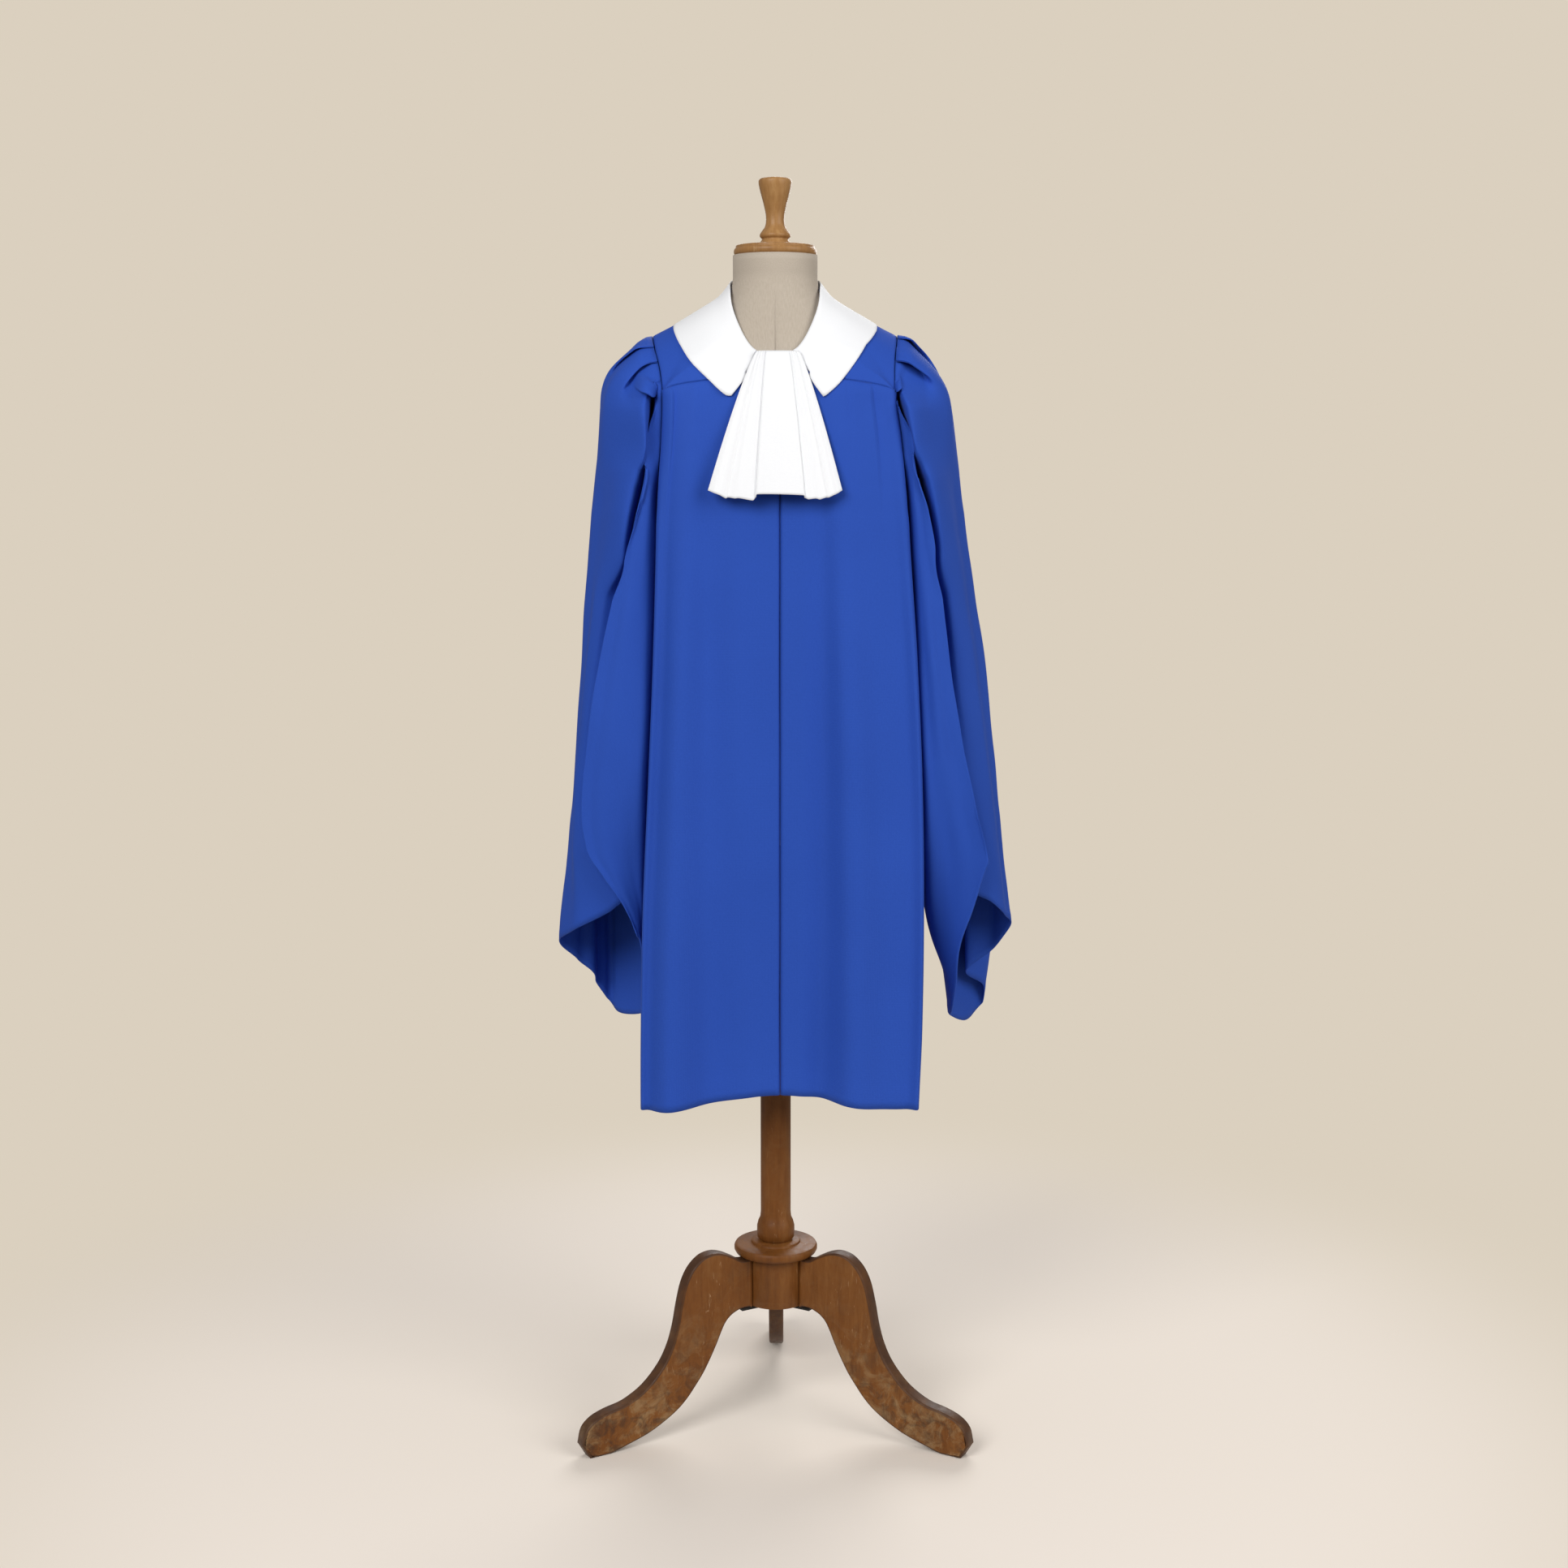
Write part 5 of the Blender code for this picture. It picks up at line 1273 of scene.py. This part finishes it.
# x at the top and bottom, depth behind the front at the top and bottom, hem height
jabotFolds = [
    (-0.0220, -0.0805, 0.0050, 0.0125, 1.2195), (-0.0208, -0.0735, 0.0038, 0.0085, 1.2165),
    (-0.0196, -0.0665, 0.0042, 0.0090, 1.2140), (-0.0184, -0.0590, 0.0024, 0.0055, 1.2100),
    (-0.0170, -0.0560, 0.0036, 0.0068, 1.2112), (-0.0158, -0.0480, 0.0022, 0.0042, 1.2100),
    (-0.0145, -0.0430, 0.0028, 0.0046, 1.2104), (-0.0125, -0.0265, 0.0012, 0.0024, 1.2075),
    (-0.0110, -0.0235, 0.0026, 0.0040, 1.2110), (-0.0100, -0.0215, 0.0002, 0.0010, 1.2150),
    (0.0030, 0.0065, -0.0004, -0.0008, 1.2150),
    (0.0160, 0.0345, 0.0002, 0.0010, 1.2138), (0.0172, 0.0365, 0.0026, 0.0040, 1.2105),
    (0.0186, 0.0400, 0.0012, 0.0024, 1.2090), (0.0200, 0.0490, 0.0028, 0.0046, 1.2100),
    (0.0214, 0.0540, 0.0022, 0.0042, 1.2088), (0.0228, 0.0610, 0.0036, 0.0068, 1.2110),
    (0.0242, 0.0650, 0.0024, 0.0055, 1.2112), (0.0256, 0.0710, 0.0042, 0.0090, 1.2140),
    (0.0272, 0.0760, 0.0038, 0.0085, 1.2165), (0.0290, 0.0810, 0.0050, 0.0125, 1.2195),
]


def makeJabot():
    count = len(jabotFolds) - 1

    def pointAt(u, w):
        k = u * count
        i = min(int(k), count - 1)
        straight = mixPoint(jabotFolds[i], jabotFolds[i + 1], k - i)
        fold = mixPoint(straight, curveAt(jabotFolds, k), jabot["roundness"])
        topX, lowX, topY, lowY, hem = fold
        y = mix(jabot["topY"], jabot["bottomY"], w ** jabot["fall"]) + jabot["depth"] * mix(topY, lowY, w)
        return (mix(topX, lowX, w ** jabot["spread"]), y, mix(jabot["top"], hem, w))

    def outwards(middle):
        return Vector((0.0, -1.0, 0.0))

    columns = count * jabot["columnsPerFold"]
    bm = clothGrid(columns, jabot["rows"], pointAt, jabot["pattern"], outwards=outwards)
    return finishPiece("jabotCloth", bm, whitePaint, "jabot", jabot["wall"])


jabotCloth = makeJabot()
print("jabot made")


form = {
    "neckRadius": 0.0525, "neckRows": (1.5063, 1.498, 1.490, 1.484, 1.478),
    "neckFoot": 1.470, "neckBlend": 0.45,
    # clear of the cloth: least on the shoulder line, more in front, behind and at the armhole
    "clear": 0.0021, "clearAway": 0.0060, "clearAt": 0.50, "clearSpan": 0.13,
    "clearEdge": 0.0030, "edgeFrom": 0.5, "edgeOver": 0.4,
    "centreFront": 0.05, "centreBack": 0.02,  # shares over which it closes at the middle
    "shoulderRows": (0.0, 0.1, 0.2, 0.3, 0.4, 0.5, 0.6, 0.7, 0.8, 0.9, 0.97),
    "bodyBlend": 0.70, "roundness": 0.80,
    "bottom": 0.7735, "bottomRing": (0.055, 0.040),
    "columns": 120, "rowsPerStep": 3,
    "pattern": (0.70, 0.95),
}
# height, half width, front, back
formRows = [
    (1.300, 0.1260, 0.0900, 0.0860), (1.240, 0.1220, 0.0960, 0.0860), (1.180, 0.1220, 0.0980, 0.0830),
    (1.100, 0.1150, 0.0880, 0.0770), (1.020, 0.1100, 0.0800, 0.0740), (0.950, 0.1200, 0.0860, 0.0820),
    (0.880, 0.1300, 0.0910, 0.0900), (0.820, 0.1290, 0.0890, 0.0890), (0.790, 0.1200, 0.0820, 0.0820),
    (0.776, 0.0900, 0.0620, 0.0620),
]


def formRing(turn, half, front, back):
    angle = math.pi * turn
    c = math.cos(angle)
    s = math.sin(angle)
    x = half * math.copysign(abs(s) ** form["roundness"], s)
    return (x, -(front if c > 0.0 else back) * math.copysign(abs(c) ** form["roundness"], c))


def formNeck(side, share, z):
    angle = math.pi * share
    return (side * form["neckRadius"] * math.sin(angle), -form["neckRadius"] * math.cos(angle), z)


def formShoulder(side, share, reach):  # a little inside the yoke
    clear = mix(form["clearAway"], form["clear"], hump((share - form["clearAt"]) / form["clearSpan"]))
    clear += form["clearEdge"] * ease((reach - form["edgeFrom"]) / form["edgeOver"])
    x, y, z = shoulderSurface(side, share, reach, -clear)
    return (x * ease(share / form["centreFront"]) * ease((1.0 - share) / form["centreBack"]), y, z)


def makeForm():
    rows = form["rowsPerStep"]
    stations = [("neck", z) for z in form["neckRows"]] + [("foot", 0.0)]
    stations += [("shoulder", reach) for reach in form["shoulderRows"]]
    stations += [("body", k / rows) for k in range(rows * (len(formRows) - 1) + 1)]
    stations += [("end", 0.0), ("shut", 0.0)]

    def pointAt(u, w):
        kind, value = stations[int(round(w * (len(stations) - 1)))]
        turn = 2.0 * u
        side = 1 if turn <= 1.0 else -1
        share = turn if turn <= 1.0 else 2.0 - turn
        if kind == "neck":
            return formNeck(side, share, value)
        if kind == "foot":
            neck = formNeck(side, share, form["neckFoot"])
            return mixPoint(neck, formShoulder(side, share, 0.0), form["neckBlend"])
        if kind == "shoulder":
            return formShoulder(side, share, value)
        if kind == "end":
            half, depth = form["bottomRing"]
            return (*formRing(turn, half, depth, depth), form["bottom"])
        if kind == "shut":
            return (0.0, 0.0, form["bottom"])
        z, half, front, back = curveAt(formRows, value)
        point = (*formRing(turn, half, front, back), z)
        if value > 0.0:
            return point
        return mixPoint(formShoulder(side, share, form["shoulderRows"][-1]), point, form["bodyBlend"])

    bm = clothGrid(form["columns"], len(stations) - 1, pointAt, form["pattern"], closed=True)
    openEdges = [edge for edge in bm.edges if edge.is_boundary]
    bmesh.ops.holes_fill(bm, edges=openEdges, sides=0)
    return finishPiece("formBody", bm, linenPaint, "dress_form")


makeForm()
print("form made")


turning = {
    "steps": 72, "rowsPerCurve": 5, "sharpAngle": 38, "leastRadius": 0.0005,
    # height and radius, from the bottom of each piece to its top
    "finial": [(1.5195, 0.0185), (1.5215, 0.0192), (1.5245, 0.0172), (1.5265, 0.0165), (1.5290, 0.0188),
               (1.5320, 0.0190), (1.5360, 0.0165), (1.5410, 0.0130), (1.5470, 0.0115), (1.5560, 0.0117),
               (1.5680, 0.0142), (1.5790, 0.0172), (1.5880, 0.0195), (1.5940, 0.0205), (1.5975, 0.0200),
               (1.5995, 0.0170), (1.6000, 0.0094)],
    "neckCap": [(1.5066, 0.0490), (1.5082, 0.0508), (1.5112, 0.0514), (1.5140, 0.0506), (1.5152, 0.0492),
                (1.5168, 0.0488), (1.5186, 0.0462), (1.5192, 0.0254)],
    "pole": [(0.2398, 0.0215), (0.2430, 0.0240), (0.2500, 0.0247), (0.2580, 0.0246), (0.2650, 0.0228),
             (0.2700, 0.0204), (0.2780, 0.0197), (0.4500, 0.0197), (0.7731, 0.0197)],
    "ring": [(0.2220, 0.0490), (0.2238, 0.0528), (0.2272, 0.0546), (0.2310, 0.0546), (0.2340, 0.0530),
             (0.2352, 0.0500), (0.2352, 0.0345), (0.2360, 0.0325), (0.2384, 0.0318), (0.2395, 0.0300)],
    "hub": [(0.1560, 0.0380), (0.1563, 0.0400), (0.1572, 0.0407), (0.2217, 0.0407)],
}


def makeTurned(name, profile, curved, paint, node):
    rows = turning[profile]
    steps = turning["rowsPerCurve"] if curved else 1
    bm = bmesh.new()
    chain = [bm.verts.new((0.0, 0.0, rows[0][0]))]
    for k in range((len(rows) - 1) * steps + 1):
        z, radius = curveAt(rows, k / steps) if curved else rows[k]
        chain.append(bm.verts.new((max(radius, turning["leastRadius"]), 0.0, z)))
    chain.append(bm.verts.new((0.0, 0.0, rows[-1][0])))
    edges = [bm.edges.new(pair) for pair in zip(chain, chain[1:])]
    bmesh.ops.spin(bm, geom=chain + edges, cent=(0, 0, 0), axis=(0, 0, 1), angle=2.0 * math.pi,
                   steps=turning["steps"], use_merge=True, use_duplicate=False)
    bmesh.ops.remove_doubles(bm, verts=bm.verts, dist=weld)
    bmesh.ops.recalc_face_normals(bm, faces=bm.faces)
    for edge in bm.edges:
        if len(edge.link_faces) == 2 and edge.calc_face_angle() > math.radians(turning["sharpAngle"]):
            edge.smooth = False
    finishPiece(name, bm, paint, node)


makeTurned("finialWood", "finial", True, goldenPaint, "finial")
makeTurned("neckCapWood", "neckCap", True, goldenPaint, "neck_cap")
makeTurned("poleWood", "pole", False, brownPaint, "pole")
makeTurned("ringWood", "ring", False, brownPaint, "hub_ring")
makeTurned("hubWood", "hub", False, brownPaint, "hub")
print("turned wood made")


leg = {
    "angles": {"right": -30.0, "left": 210.0, "back": 90.0},
    "thick": 0.0200, "steps": 4, "rows": 12,
    "round": 0.0030, "roundSteps": 4, "roundFrom": 0.045, "sharpAngle": 50,  # edges are round outside the hub
    "flatWithin": 1e-5,  # points this near the sides aren't worn
    # upper radius and height, lower radius and height, root to toe
    "outline": [
        (0.0411, 0.2213, 0.0411, 0.1562), (0.0552, 0.2213, 0.0560, 0.1562), (0.0655, 0.2270, 0.0660, 0.1530),
        (0.0800, 0.2345, 0.0730, 0.1490), (0.0925, 0.2380, 0.0800, 0.1420), (0.1040, 0.2375, 0.0860, 0.1310),
        (0.1150, 0.2335, 0.0920, 0.1180), (0.1280, 0.2220, 0.0975, 0.1070), (0.1380, 0.2040, 0.1040, 0.0950),
        (0.1450, 0.1780, 0.1130, 0.0800), (0.1510, 0.1480, 0.1240, 0.0655), (0.1590, 0.1230, 0.1370, 0.0500),
        (0.1720, 0.1000, 0.1520, 0.0370), (0.1950, 0.0765, 0.1720, 0.0250), (0.2230, 0.0615, 0.1950, 0.0145),
        (0.2490, 0.0560, 0.2220, 0.0065), (0.2690, 0.0490, 0.2480, 0.0000), (0.2820, 0.0370, 0.2640, 0.0000),
        (0.2868, 0.0180, 0.2760, 0.0000),
    ],
}


def makeLeg(key, degrees):
    bm = bmesh.new()
    spans = len(leg["outline"]) - 1
    bmesh.ops.create_grid(bm, x_segments=spans * leg["steps"], y_segments=leg["rows"], size=0.5)
    for vertex in bm.verts:
        down = 0.5 - vertex.co.y
        upperR, upperZ, lowerR, lowerZ = curveAt(leg["outline"], (vertex.co.x + 0.5) * spans)
        vertex.co = (mix(upperR, lowerR, down), -0.5 * leg["thick"], max(mix(upperZ, lowerZ, down), 0.0))
    grown = bmesh.ops.extrude_face_region(bm, geom=bm.faces[:])
    moved = [item for item in grown["geom"] if isinstance(item, bmesh.types.BMVert)]
    bmesh.ops.translate(bm, verts=moved, vec=(0.0, leg["thick"], 0.0))
    bmesh.ops.recalc_face_normals(bm, faces=bm.faces)
    bm.normal_update()
    rim = []
    for edge in bm.edges:
        first, second = (vertex.co for vertex in edge.verts)
        sharp = len(edge.link_faces) == 2 and edge.calc_face_angle() > math.radians(leg["sharpAngle"])
        if sharp and abs(first.y - second.y) < tiny and max(first.x, second.x) > leg["roundFrom"]:
            rim.append(edge)
    bmesh.ops.bevel(bm, geom=rim, offset=leg["round"], segments=leg["roundSteps"], profile=0.5,
                    affect="EDGES", material=-1)
    wear = bm.verts.layers.float.new("edgeWear")
    for vertex in bm.verts:
        if abs(abs(vertex.co.y) - 0.5 * leg["thick"]) > leg["flatWithin"]:
            vertex[wear] = 1.0
    turned = Matrix.Rotation(math.radians(degrees), 3, "Z")
    bmesh.ops.rotate(bm, verts=bm.verts, cent=(0, 0, 0), matrix=turned)
    finishPiece("leg" + key.capitalize(), bm, brownPaint, "leg_" + key)


for key, degrees in leg["angles"].items():
    makeLeg(key, degrees)
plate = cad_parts["iron_plate"].data
plate.materials.clear()
plate.materials.append(ironPaint.material)
print("legs made")


# width and length of the cloth each piece is cut from, its area, how it is held and on what
cuts = [
    (frontLeft, (0.27, 0.92), 0.2377, "hung", [yokeCloth]),
    (frontRight, (0.28, 0.92), 0.2464, "hung", [yokeCloth]),
    (backPanel, (0.56, 0.91), 0.4578, "hung", [yokeCloth]),
    (sleeveLeft, (0.62, 0.86), 0.3920, "hung", [yokeCloth]),
    (sleeveRight, (0.66, 0.88), 0.4306, "hung", [yokeCloth]),
    (yokeCloth, (0.36, 0.30), 0.0769, "draped", ["dress_form"]),
    (collarCloth, (0.32, 0.24), 0.0447, "laid", [yokeCloth]),
    (jabotCloth, (0.19, 0.175), 0.0217, "hung", [collarCloth]),
]
for cloth, flat, area, held, below in cuts:
    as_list(below)
